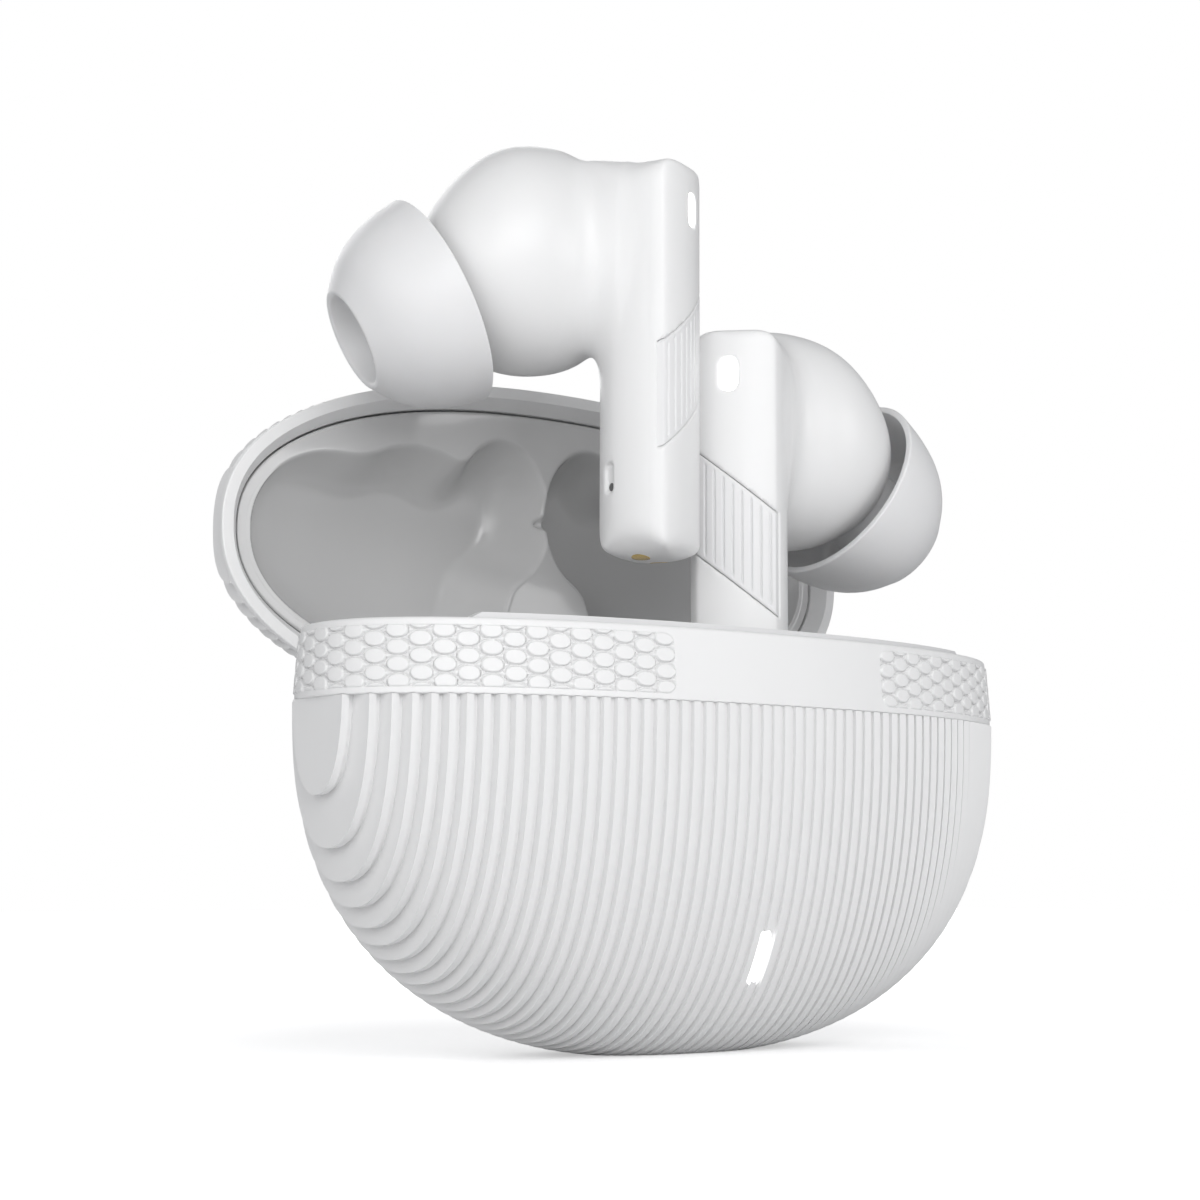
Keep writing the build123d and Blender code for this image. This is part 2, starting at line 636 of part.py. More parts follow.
lid_shell = lid_shell - block(-arm_reach - 0.1, arm_reach + 0.1, hinge_y - 1.0, hinge_y + 1.3,
                              rim_height - 1, rim_height + 2.7)
parts["lid_hinge_arm"] = open_lid(arm)
parts["lid_shell"] = open_lid(lid_shell)

liner_inset = edge + liner_gap
liner_low = lid_chamfer_depth + 0.1
liner = dome(liner_inset, lid_wall + liner_gap, liner_low)
hollow_form = dome(liner_inset + liner_border, lid_wall + liner_gap + liner_thickness, 0)
stem_hollow = Pos(stem_x, stem_y - hollow_forward, rim_height) * extrude(
    Ellipse(hollow_half_width, hollow_half_depth), amount=lid_height + 5)
head_hollow = head_room(hollow_clearance, 0, hollow_tip_clearance) + stem_hollow
hollows = hollow_form & both_sides(head_hollow & block(liner_web, far, -far, far, 0, far))
liner = liner - hollows
liner = liner - block(-arm_reach - 0.3, arm_reach + 0.3, hinge_y - 1.3, far, 0, rim_height + 3.0)
lid_magnet_top = liner_low + lid_magnet_lift + lid_magnet_size[2]
narrowing = 1 - (lid_magnet_top / (lid_height - lid_wall)) ** lid_top_power
narrowing = narrowing ** (1 / lid_side_power)
lid_magnet_y = lid_magnet_size[1] / 2 + lid_magnet_gap - oval_depth(
    (rim_half_width - edge) * narrowing, (rim_half_depth - edge) * narrowing,
    magnet_x + lid_magnet_size[0] / 2)
lid_magnet = Pos(magnet_x, lid_magnet_y, lid_base + lid_magnet_top - lid_magnet_size[2] / 2)
lid_magnet_solid = lid_magnet * Box(*lid_magnet_size)
magnet_room = lid_magnet * Box(*(v + 2 * part_gap for v in lid_magnet_size))
liner = liner - both_sides(magnet_room)
parts["lid_liner"] = open_lid(liner)
parts["lid_magnets"] = open_lid(Compound([lid_magnet_solid, mirror(lid_magnet_solid, about=Plane.YZ)]))

# the two buds, mirror images of each other
for name, piece in make_bud().items():
    parts["right_" + name] = place_right(piece, rim_height + right_lift)
    parts["left_" + name] = place_left(piece, rim_height + left_lift, left_turn)

os.makedirs("parts", exist_ok=True)
for name, piece in parts.items():
    export_step(piece, os.path.join("parts", name + ".step"))
print(len(parts), "pieces written")
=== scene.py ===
# %% [markdown]
# A charging case for two wireless earbuds
# ----------------------------------------
# The case is an oval bowl with a hinged lid. Fine ribs run over bowl and lid, a plain band with
# patches of small pads closes the bowl's top, and two stem earbuds hover over their pockets.
# The engineering model is already in place when this lesson starts: it gives every piece its
# size and tells which body it moves with. Here each piece that shows gets its true surface.

# %% Load the engineering model
import json
import math

import bmesh
import bpy
import numpy as np
from mathutils import Matrix, Vector


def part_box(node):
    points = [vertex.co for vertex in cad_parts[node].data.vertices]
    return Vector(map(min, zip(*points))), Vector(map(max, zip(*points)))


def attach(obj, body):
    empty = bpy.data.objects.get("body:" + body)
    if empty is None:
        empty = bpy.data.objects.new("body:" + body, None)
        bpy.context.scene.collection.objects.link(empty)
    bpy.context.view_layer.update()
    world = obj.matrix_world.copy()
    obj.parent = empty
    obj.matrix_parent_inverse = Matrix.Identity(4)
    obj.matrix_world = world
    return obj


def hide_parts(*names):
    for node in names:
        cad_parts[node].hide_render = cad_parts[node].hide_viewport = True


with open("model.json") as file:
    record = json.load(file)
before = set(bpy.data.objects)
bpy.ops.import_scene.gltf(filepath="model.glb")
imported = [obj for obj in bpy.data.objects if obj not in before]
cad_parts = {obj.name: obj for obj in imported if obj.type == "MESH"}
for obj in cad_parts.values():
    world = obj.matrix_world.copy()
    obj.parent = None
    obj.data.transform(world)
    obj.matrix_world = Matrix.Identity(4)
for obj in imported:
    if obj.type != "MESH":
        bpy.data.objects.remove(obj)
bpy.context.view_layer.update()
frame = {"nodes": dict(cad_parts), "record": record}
nodes = frame["nodes"]

# %% [markdown]
# The sizes below are in millimetres and are those that the moulds are drawn with. The bowl is a
# rounded oval in plan, a superellipse, and its side view is rounded by two more powers. Keeping
# such a shape as a formula means that any point of it can be asked for, however fine the mesh.

# %% Sizes of the case in millimetres
MM = 0.001
PLAN_POWER = 2.23
HALF_WIDTH, HALF_DEPTH = 30.67, 13.86
RIM_HEIGHT, BAND_HEIGHT, BAND_TAPER = 30.0, 5.15, 0.40
BAND_BASE = RIM_HEIGHT - BAND_HEIGHT
EQUATOR = RIM_HEIGHT - 4.43
BOWL = {"drop": 25.97, "side": 2.325, "base": 2.495}
LID = {"drop": 9.5, "side": 2.2, "base": 2.4}
RIM_HALF_WIDTH, RIM_HALF_DEPTH = HALF_WIDTH - BAND_TAPER, HALF_DEPTH - BAND_TAPER
LID_BASE = RIM_HEIGHT + 0.06
HINGE_Y, HINGE_Z = 11.2, RIM_HEIGHT - 2.62
LID_OPEN = math.radians(91.74)
RIB_PITCH, RIB_DEPTH, RIDGE_SHARE = 1.0, 0.26, 0.6
SLAB_SHIFT, END_MARGIN = 0.1, 0.28
RIB_BEVEL, CAP_WIDTH = 0.02, 4          # the steps of the last ribs need finer columns

# %% [markdown]
# Blender builds a mesh from a list of points and a list of faces. Most surfaces here are grids:
# rows of points along one direction, columns along the other, so one helper makes the faces of
# any grid and another turns points and faces into an object that rides on a body of the model.

# %% Helpers that turn grids of points into objects
def grid_faces(rows, columns, closed=False):
    """Four-sided faces between the rows of a grid of points."""
    i = np.arange(rows - 1)[:, None]
    j = np.arange(columns if closed else columns - 1)[None, :]
    k = (j + 1) % columns
    corners = [i * columns + j, i * columns + k, (i + 1) * columns + k, (i + 1) * columns + j]
    return np.stack(np.broadcast_arrays(*corners), -1).reshape(-1, 4)


def add_piece(name, points, faces, body, finish, smooth=True):
    """An object from points in millimetres, riding on a body of the model."""
    mesh = bpy.data.meshes.new(name)
    mesh.from_pydata((np.asarray(points) * MM).tolist(), [], [list(f) for f in faces])
    mesh.validate()
    piece = bpy.data.objects.new(name, mesh)
    bpy.context.scene.collection.objects.link(piece)
    mesh.materials.append(finish)
    mesh.polygons.foreach_set("use_smooth", [smooth] * len(mesh.polygons))
    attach(piece, body)
    return piece


# %% [markdown]
# Camera first. The product stands a little above eye level, as in a catalogue picture, and is
# seen from its left front corner. A long lens keeps the oval plan from bulging.

# %% Camera
CAMERA_RIGHT = Vector((0.8000, -0.6000, 0.0040))
CAMERA_UP = Vector((-0.0720, -0.0900, 0.9930))
CAMERA_PLACE = Vector((-111.27, -140.07, RIM_HEIGHT - 17.09)) * MM
FILM_WIDTH, FOCAL_LENGTH, NEAR_LIMIT = 36, 71.16, 0.005


def add_camera():
    """The camera from its place and its right and up directions."""
    data = bpy.data.cameras.new("catalogue_camera")
    data.sensor_width = FILM_WIDTH
    data.lens = FOCAL_LENGTH
    data.clip_start = NEAR_LIMIT
    camera = bpy.data.objects.new("catalogue_camera", data)
    bpy.context.scene.collection.objects.link(camera)
    right = CAMERA_RIGHT.normalized()
    up = (CAMERA_UP - right * CAMERA_UP.dot(right)).normalized()
    turn = Matrix((right, up, right.cross(up))).transposed().to_4x4()
    camera.matrix_world = Matrix.Translation(CAMERA_PLACE) @ turn
    bpy.context.scene.camera = camera


add_camera()

# %% [markdown]
# White plastic on white needs soft, even light. Four area lamps in front do what a light tent
# does, one behind brightens the back, and the world fills the rest. Only what the camera sees
# directly is pure white: the light that falls on the product stays moderate, so its whites keep
# their shading.

# %% World, floor and lamps
def add_node(tree, kind, values=()):
    """A new shader node, with some of its inputs set."""
    node = tree.nodes.new("ShaderNode" + kind)
    set_inputs(node, values)
    return node


def set_inputs(node, values):
    """Gives a node's inputs their values."""
    for name, value in dict(values).items():
        node.inputs[name].default_value = value


def link_value(tree, node_out, node_in):
    """Joins two sockets of a node tree."""
    tree.links.new(node_out, node_in)


def seen_directly(tree):
    """A value of 1 where a camera, mirror or glass ray looks straight at the surface."""
    path, both = add_node(tree, "LightPath"), add_node(tree, "Math")
    both.operation = "MAXIMUM"
    link_value(tree, path.outputs["Is Camera Ray"], both.inputs[0])
    link_value(tree, path.outputs["Is Transmission Ray"], both.inputs[1])
    return both.outputs[0]


def make_world(fill, backdrop=1.0):
    """White world behind the product, with a softer grey for its light."""
    world = bpy.data.worlds.new("light_tent")
    bpy.context.scene.world = world
    world.use_nodes = True
    tree = world.node_tree
    tree.nodes.clear()
    light = add_node(tree, "Background", {"Color": (0.97, 0.98, 1.0, 1), "Strength": fill})
    seen = add_node(tree, "Background", {"Color": (1, 1, 1, 1), "Strength": backdrop})
    mix, out = add_node(tree, "MixShader"), add_node(tree, "OutputWorld")
    link_value(tree, seen_directly(tree), mix.inputs["Fac"])
    link_value(tree, light.outputs[0], mix.inputs[1])
    link_value(tree, seen.outputs[0], mix.inputs[2])
    link_value(tree, mix.outputs[0], out.inputs["Surface"])


def add_lamp(name, place, aim, size, power):
    """A square area lamp in millimetres that looks at a point."""
    data = bpy.data.lights.new(name, "AREA")
    data.shape = "RECTANGLE"
    data.size, data.size_y = size[0] * MM, size[1] * MM
    data.energy = power
    lamp = bpy.data.objects.new(name, data)
    bpy.context.scene.collection.objects.link(lamp)
    lamp.location = Vector(place) * MM
    lamp.rotation_euler = (Vector(aim) - Vector(place)).to_track_quat("-Z", "Y").to_euler()


# name: (place, width and height, power in watts); each looks at the middle of the product
LAMPS = {
    "key_box": ((-80, -250, 140), (200, 170), 0.305),
    "window_box": ((125, -200, 95), (70, 100), 0.066),
    "left_box": ((-260, -70, 110), (170, 200), 0.11),
    "front_box": ((-190, -190, 60), (180, 120), 0.115),
    "back_box": ((60, 260, 170), (220, 170), 0.20),
}
LAMP_AIM, WORLD_FILL = (0, 0, 35), 0.34

bpy.context.scene.view_settings.view_transform = "Standard"
make_world(WORLD_FILL)
for name, (place, size, power) in LAMPS.items():
    add_lamp(name, place, LAMP_AIM, size, power)


FLOOR_HALF, FLOOR_GLOW_NEAR, GLOW_START, GLOW_FULL = 600, 0.45, 30, 120


def make_floor():
    """A pale floor that keeps a soft shadow and blends into the backdrop further away."""
    corners = [(-1, -1), (1, -1), (1, 1), (-1, 1)]
    finish = bpy.data.materials.new("floor_white")
    finish.use_nodes = True
    tree = finish.node_tree
    shader = tree.nodes["Principled BSDF"]
    set_inputs(shader, {"Base Color": (0.86, 0.86, 0.865, 1), "Roughness": 0.8,
                        "Specular IOR Level": 0.2})
    place, far_off = add_node(tree, "TexCoord"), add_node(tree, "VectorMath")
    far_off.operation = "LENGTH"
    link_value(tree, place.outputs["Object"], far_off.inputs[0])
    rise = add_node(tree, "MapRange", {"From Min": GLOW_START * MM, "From Max": GLOW_FULL * MM,
                                       "To Min": FLOOR_GLOW_NEAR, "To Max": 1.0})
    link_value(tree, far_off.outputs["Value"], rise.inputs["Value"])
    shown = add_node(tree, "Math")
    shown.operation = "MULTIPLY"
    link_value(tree, rise.outputs["Result"], shown.inputs[0])
    link_value(tree, seen_directly(tree), shown.inputs[1])
    glow, both = add_node(tree, "Emission", {"Color": (1, 1, 1, 1)}), add_node(tree, "AddShader")
    link_value(tree, shown.outputs[0], glow.inputs["Strength"])
    link_value(tree, shader.outputs[0], both.inputs[0])
    link_value(tree, glow.outputs[0], both.inputs[1])
    link_value(tree, both.outputs[0], tree.nodes["Material Output"].inputs["Surface"])
    mesh = bpy.data.meshes.new("floor")
    reach = FLOOR_HALF * MM
    mesh.from_pydata([(x * reach, y * reach, 0) for x, y in corners], [], [(0, 1, 2, 3)])
    floor = bpy.data.objects.new("floor", mesh)
    mesh.materials.append(finish)
    bpy.context.scene.collection.objects.link(floor)


make_floor()

# %% [markdown]
# Finishes. Each one answers to a material slot of the engineering model, so a library user can
# repaint it. Even plain white plastic isn't perfectly even: a faint noise in its roughness and
# a very low bump stand for mould texture, and keep the highlights from looking computed.

# %% Finishes
def plastic(name, colour, roughness, grain=0.0, scale=900.0, coat=0.0, inner=0.0, spread=0.04):
    """A plastic with slight unevenness in its roughness and a low mould grain."""
    finish = bpy.data.materials.new(name)
    finish.use_nodes = True
    tree = finish.node_tree
    shader = tree.nodes["Principled BSDF"]
    set_inputs(shader, {"Base Color": (*colour, 1), "IOR": 1.47, "Coat Weight": coat,
                        "Coat Roughness": 0.06, "Subsurface Weight": inner,
                        "Subsurface Radius": (1.0, 0.95, 0.9), "Subsurface Scale": 0.8 * MM})
    place = add_node(tree, "TexCoord")
    noise = add_node(tree, "TexNoise", {"Scale": scale, "Detail": 4})
    link_value(tree, place.outputs["Object"], noise.inputs["Vector"])
    span = add_node(tree, "MapRange", {"To Min": max(roughness - spread, 0.02),
                                       "To Max": roughness + spread})
    link_value(tree, noise.outputs["Fac"], span.inputs["Value"])
    link_value(tree, span.outputs["Result"], shader.inputs["Roughness"])
    if grain:
        bump = add_node(tree, "Bump", {"Strength": grain, "Distance": 0.02 * MM})
        link_value(tree, noise.outputs["Fac"], bump.inputs["Height"])
        link_value(tree, bump.outputs["Normal"], shader.inputs["Normal"])
    return finish


def metal(name, colour, roughness, brushed=(1, 1, 1)):
    """A metal with fine scratches along one axis."""
    finish = plastic(name, colour, roughness, spread=0.08, scale=500)
    tree = finish.node_tree
    set_inputs(tree.nodes["Principled BSDF"], {"Metallic": 1})
    stretch = add_node(tree, "Mapping", {"Scale": brushed})
    link_value(tree, tree.nodes["Texture Coordinate"].outputs["Object"], stretch.inputs["Vector"])
    link_value(tree, stretch.outputs["Vector"], tree.nodes["Noise Texture"].inputs["Vector"])
    return finish


def lit(name, strength):
    """A light pipe that glows evenly, with a faint darker edge."""
    finish = plastic(name, (1, 1, 1), 0.3)
    tree = finish.node_tree
    edge = add_node(tree, "LayerWeight")
    span = add_node(tree, "MapRange", {"To Min": strength, "To Max": strength * 0.9})
    link_value(tree, edge.outputs["Facing"], span.inputs["Value"])
    shader = tree.nodes["Principled BSDF"]
    set_inputs(shader, {"Emission Color": (1, 1, 1, 1)})
    link_value(tree, span.outputs["Result"], shader.inputs["Emission Strength"])
    return finish


def woven(name, colour, pitch):
    """A metal gauze: a fine checker of dark grey wires, with holes painted near black as painted
    shade of the hollow behind them.
    """
    finish = plastic(name, colour, 0.4)
    tree = finish.node_tree
    holes = add_node(tree, "TexVoronoi", {"Scale": 1 / (pitch * MM), "Randomness": 0.1})
    ramp = add_node(tree, "ValToRGB")
    # painted shade: the hole spots get a near black colour for the shade behind the gauze; the
    # wires keep the gauze's own dark grey
    ramp.color_ramp.elements[0].position = 0.3
    ramp.color_ramp.elements[0].color = (0.01, 0.01, 0.01, 1)
    ramp.color_ramp.elements[1].position = 0.45
    ramp.color_ramp.elements[1].color = (*colour, 1)
    link_value(tree, tree.nodes["Texture Coordinate"].outputs["Object"], holes.inputs["Vector"])
    link_value(tree, holes.outputs["Distance"], ramp.inputs["Fac"])
    link_value(tree, ramp.outputs["Color"], tree.nodes["Principled BSDF"].inputs["Base Color"])
    return finish


finishes = {
    "shell_white": plastic("shell_white", (0.82, 0.82, 0.82), 0.42, grain=0.10),
    "tray_white": plastic("tray_white", (0.76, 0.76, 0.765), 0.35, grain=0.05),
    "pearl_grey": plastic("pearl_grey", (0.58, 0.58, 0.58), 0.16, coat=0.4, scale=300, spread=0.02),
    "bud_white": plastic("bud_white", (0.82, 0.82, 0.82), 0.33, inner=0.1, spread=0.02),
    "grip_satin": plastic("grip_satin", (0.78, 0.78, 0.785), 0.38, grain=0.08),
    "tip_silicone": plastic("tip_silicone", (0.78, 0.78, 0.785), 0.36, inner=0.3, grain=0.04),
    "clear_pipe": lit("clear_pipe", 1.0),
    "gold_contact": metal("gold_contact", (0.83, 0.62, 0.26), 0.25),
    "hinge_metal": metal("hinge_metal", (0.75, 0.75, 0.76), 0.32, (0.1, 1, 1)),
    "steel": metal("steel", (0.55, 0.55, 0.56), 0.38, (0.1, 1, 1)),
    "magnet_nickel": metal("magnet_nickel", (0.62, 0.60, 0.57), 0.22),
    "cell_foil": metal("cell_foil", (0.70, 0.70, 0.72), 0.30, (1, 0.2, 1)),
    "board": plastic("board", (0.02, 0.12, 0.06), 0.45, scale=1500, spread=0.1),
    # the gauze's wires are its own dark grey; its holes are painted shade
    "dark_mesh": woven("dark_mesh", (0.12, 0.12, 0.12), 0.22),
}
print("finishes:", ", ".join(finishes))

# %% [markdown]
# The pieces inside, such as the cells, boards, magnets and pins, keep the surface of the
# engineering model: they are cut from flat stock and need no more shape than it gives them.

# %% Finishes on the pieces of the engineering model
def finish_nodes():
    """Gives every node the finish of its slot."""
    for row in frame["record"]["subparts"]:
        node = nodes[row["node"]]
        node.data.materials.clear()
        node.data.materials.append(finishes[row["material_slot"]])


finish_nodes()

# %% [markdown]
# The ribbed bowl
# ---------------
# On the real case the ribs look like thin slabs stacked side by side with a groove between
# each two. Near the ends, where the bowl curves away, each slab ends in a flat step. The mesh is
# made that way: every slab and every groove is the bowl's slice at one X, drawn out sideways.
# Four columns of points per rib are enough, because all the edges are sharp.

# %% A slice through the bowl, and the stack of ribs
def half_slice(across, half_width, half_depth, shape, start, stop, shares):
    """Points (depth, drop) of a slice at one X, from the start down to the slice's lowest."""
    share = abs(across) / half_width
    reach = (1 - share ** shape["side"]) ** (1 / shape["base"])
    last = max(min(reach, stop), start + 1e-6)
    turn = np.linspace(0, math.pi / 2, 900)
    s = start + (last - start) * np.sin(turn)
    round_share = np.maximum((1 - s ** shape["base"]) ** (1 / shape["side"]), 1e-9)
    inside = np.clip(1 - (share / round_share) ** PLAN_POWER, 0, 1)
    depth = half_depth * round_share * inside ** (1 / PLAN_POWER)
    drop = shape["drop"] * s
    if stop < reach:
        depth, drop = np.append(depth, 0.0), np.append(drop, drop[-1])
    else:
        depth[-1] = 0.0
    length = np.concatenate(([0], np.cumsum(np.hypot(np.diff(depth), np.diff(drop)))))
    along = shares * length[-1]
    return np.interp(along, length, depth), np.interp(along, length, drop)


def rib_stations(half_width, fine=(0.0, 1.0)):
    """(X, X of the slice, groove share, X without ribs) of each column out to +X."""
    half, bevel = RIB_PITCH * RIDGE_SHARE / 2, RIB_BEVEL
    last = math.floor((half_width - END_MARGIN - half) / RIB_PITCH)
    stations = []
    for rib in range(last + 1):
        here = rib * RIB_PITCH
        slab = here + SLAB_SHIFT * (rib > 0)
        spans = [(here - half + bevel if rib else 0.0, here + half - bevel, slab, 0.0)]
        if rib < last:
            spans.append((here + half, here + RIB_PITCH - half, here + RIB_PITCH + SLAB_SHIFT, 1.0))
        for low, high, at, groove in spans:
            count = 2 if high < half_width - CAP_WIDTH else 6
            if low < fine[0]:
                count = math.ceil((high - low) / fine[1]) + 1
            stations += [(x, at, groove, x) for x in np.linspace(low, high, count)]
    cap = last * RIB_PITCH + half - bevel
    slab = last * RIB_PITCH + SLAB_SHIFT
    for share in 1 - np.linspace(0.93, 0.005, 14) ** 2:
        stations.append((cap, slab + (half_width - slab) * share, 0.0,
                         cap + (half_width - cap) * share))
    return stations


def both_halves(depth, drop):
    """Y and drop of a whole slice, from its front edge under the shell to its back edge."""
    return np.concatenate((-depth, depth[-2::-1])), np.concatenate((drop, drop[-2::-1]))


def ribbed_skin(half_width, half_depth, shape, start, stop, shares, fade=None, fine=(0.0, 1.0)):
    """Grid of points X, Y, drop over a rounded shell, smooth where there is no fade to follow."""
    side = rib_stations(half_width, fine)
    mirrored = [(-x, -at, groove, -plain_x) for x, at, groove, plain_x in side[:0:-1]]
    grid = []
    for x, at, groove, plain_x in mirrored + side:
        y, z = both_halves(*half_slice(plain_x, half_width, half_depth, shape, start, stop, shares))
        plain = np.stack((np.full_like(y, plain_x), y, z), 1)
        if fade:
            y, z = both_halves(*half_slice(at, half_width, half_depth, shape, start, stop, shares))
            dy, dz = np.gradient(y), np.gradient(z)
            inwards = RIB_DEPTH * groove / np.maximum(np.hypot(dy, dz), 1e-9)
            slab = np.stack((np.full_like(y, x), y + inwards * dz, z - inwards * dy), 1)
            plain = plain + (slab - plain) * fade(z)[:, None]
        grid.append(plain)
    return np.array(grid)


def crisp(piece, degrees=32):
    """Keeps edges that turn by more than an angle sharp, and shades the rest smooth."""
    piece.data.set_sharp_from_angle(angle=math.radians(degrees))


def oval(half_width, half_depth, count):
    """Evenly spaced plan points of the case's oval, from the front middle to +X and round."""
    turn = np.linspace(0, 2 * math.pi, 8001)
    power = 2 / PLAN_POWER
    x = np.sign(np.sin(turn)) * np.abs(np.sin(turn)) ** power
    y = -np.sign(np.cos(turn)) * np.abs(np.cos(turn)) ** power
    steps = np.hypot(np.diff(x) * half_width, np.diff(y) * half_depth)
    length = np.concatenate(([0], np.cumsum(steps)))
    along = np.linspace(0, length[-1], count, endpoint=False)
    x, y = np.interp(along, length, x), np.interp(along, length, y)
    return half_width * x, half_depth * y, along, length[-1]


def ring_wall(half_width, half_depth, profile, count=900):
    """Rings of points round the case, for a profile of (inset, height) pairs."""
    rows = []
    for inset, height in profile:
        x, y, _, _ = oval(half_width - inset, half_depth - inset, count)
        rows.append(np.stack((x, y, np.full(count, height)), 1))
    return np.array(rows)


def round_corners(corners, steps=9):
    """A line through corners (x, y, radius), with an arc in each; radius 0 is sharp or an end."""
    line = []
    for i, (x, y, radius) in enumerate(corners):
        spot = np.array((x, y))
        if not radius:
            line.append(spot)
            continue
        back = np.array(corners[i - 1][:2]) - spot
        ahead = np.array(corners[(i + 1) % len(corners)][:2]) - spot
        back, ahead = back / np.hypot(*back), ahead / np.hypot(*ahead)
        half = math.acos(back @ ahead) / 2
        middle = spot + (back + ahead) / np.hypot(*(back + ahead)) * radius / math.sin(half)
        start = spot + back * radius / math.tan(half) - middle
        sweep = math.copysign(math.pi - 2 * half, back[1] * ahead[0] - back[0] * ahead[1])
        for turn in np.linspace(0, sweep, steps):
            cos, sin = math.cos(turn), math.sin(turn)
            line.append(middle + (start[0] * cos - start[1] * sin, start[0] * sin + start[1] * cos))
    return line


def join_grids(*grids):
    """One list of points and one of faces from several grids, each (points, closed)."""
    points, faces, first = [], [], 0
    for grid, closed in grids:
        rows, columns = grid.shape[:2]
        points.append(grid.reshape(-1, 3))
        faces.append(grid_faces(rows, columns, closed) + first)
        first += rows * columns
    return np.concatenate(points), np.concatenate(faces)


# %% [markdown]
# The bowl's skin has two openings. The charging socket goes through the flat foot, so faces
# there are left out. The status light sits in a shallow slot in front, drawn as a dip whose
# outline is a pill that leans with the bowl's curve.

# %% The bowl
LIGHT_TILT, LIGHT_RECESS, SHELL_WALL = math.radians(26.0), 0.75, 1.2
LIGHT_LENGTH, LIGHT_WIDTH, LIGHT_EDGE = 4.1, 1.05, 0.05
RIB_START = 0.35                        # the ribs grow to full depth over this drop
FOOT_ZONE, INNER_FOOT_ZONE = 0.5, 8     # only below these heights does the socket cut faces
SOCKET_PLAY, INNER_SOCKET = 0.1, (10.4, 4.6)
INNER_DROP_LESS, INNER_STOP = 1.3, 0.955


def pill_distance(along, across, length, width):
    """Distance of a point from the outline of a pill, negative inside."""
    straight = (length - width) / 2
    rest = np.maximum(np.abs(along) - straight, 0)
    return np.hypot(rest, across) - width / 2


def make_bowl():
    """The ribbed bowl with its wall, the light's slot and the socket's hole."""
    start, stop = (EQUATOR - BAND_BASE) / BOWL["drop"], EQUATOR / BOWL["drop"]
    foot = lambda drop: np.clip((EQUATOR - drop) / RIB_START, 0, 1)
    low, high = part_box("status_light_pipe")
    slot_low, slot_high = low[2] / MM, high[2] / MM
    _, drops = half_slice(0, HALF_WIDTH, HALF_DEPTH, BOWL, start, stop, np.linspace(0, 1, 1001))
    share_at = lambda z: float(np.interp(EQUATOR - z, drops, np.linspace(0, 1, 1001)))
    fine_start, fine_end = share_at(slot_high + 0.5), share_at(slot_low - 0.5)
    shares = np.union1d(np.linspace(0, 1, 130), np.linspace(fine_start, fine_end, 110))
    skin = ribbed_skin(HALF_WIDTH, HALF_DEPTH, BOWL, start, stop, shares, foot, (0.6, 0.04))
    skin[..., 2] = EQUATOR - skin[..., 2]
    slant = math.cos(LIGHT_TILT)
    along = (skin[..., 2] - (slot_low + slot_high) / 2) / slant
    away = pill_distance(along, skin[..., 0], LIGHT_LENGTH, LIGHT_WIDTH)
    dip = np.clip(-away / LIGHT_EDGE, 0, 1) * (skin[..., 1] < 0)
    skin[..., 1] += dip * LIGHT_RECESS * slant
    skin[..., 2] += dip * LIGHT_RECESS * math.sin(LIGHT_TILT)
    low, high = [np.array(corner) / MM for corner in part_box("usb_c_receptacle")]
    points, faces = join_grids((skin, False))
    middle = points[faces].mean(1)
    hole = pill_distance(middle[:, 0], middle[:, 1] - (low[1] + high[1]) / 2,
                         high[0] - low[0] + SOCKET_PLAY, high[1] - low[1] + SOCKET_PLAY)
    faces = faces[(hole > 0) | (middle[:, 2] > FOOT_ZONE)].tolist()
    inner = ribbed_skin(HALF_WIDTH - SHELL_WALL, HALF_DEPTH - SHELL_WALL,
                        dict(BOWL, drop=BOWL["drop"] - INNER_DROP_LESS), start, INNER_STOP,
                        np.linspace(0, 1, 40))
    inner[..., 2] = EQUATOR - inner[..., 2]
    first = len(points)
    more = grid_faces(*inner.shape[:2]) + first
    middle = inner.reshape(-1, 3)[more - first].mean(1)
    hole = pill_distance(middle[:, 0], middle[:, 1] - (low[1] + high[1]) / 2, *INNER_SOCKET)
    more = more[(hole > 0) | (middle[:, 2] > INNER_FOOT_ZONE)]
    points = np.concatenate((points, inner.reshape(-1, 3)))
    piece = add_piece("ribbed_bowl", points, faces + more.tolist(), "case",
                      finishes["shell_white"])
    crisp(piece)
    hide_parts("lower_shell")
    return piece


bowl = make_bowl()
print("bowl:", len(bowl.data.polygons), "faces")

# %% [markdown]
# The band with its pads
# ----------------------
# A separate ring closes the bowl. Two patches of small rounded pads run from beside the smooth
# front field round to the hinge. On the real ring they are etched into the mould. Here each
# point of a fine ring grid asks how far it is from the middle of its pad, so that pads which
# are cut off at the patch's edge get a clean straight edge, as the moulded ones have.

# %% The band
PAD_PITCH, PAD_RISE_PITCH = 1.58, 1.16
PAD_HALF_WIDTH, PAD_HALF_HEIGHT, PAD_HEIGHT, MOAT_DEPTH = 0.775, 0.515, 0.13, 0.17
SMOOTH_FRONT, BACK_NOTCH = 9.7, 10.4
PATCH_TOP, PATCH_LOW = RIM_HEIGHT - 0.52, BAND_BASE + 0.45
PATCH_CORNER, PATCH_EDGE, PAD_POWER = 0.8, 0.06, 2.2


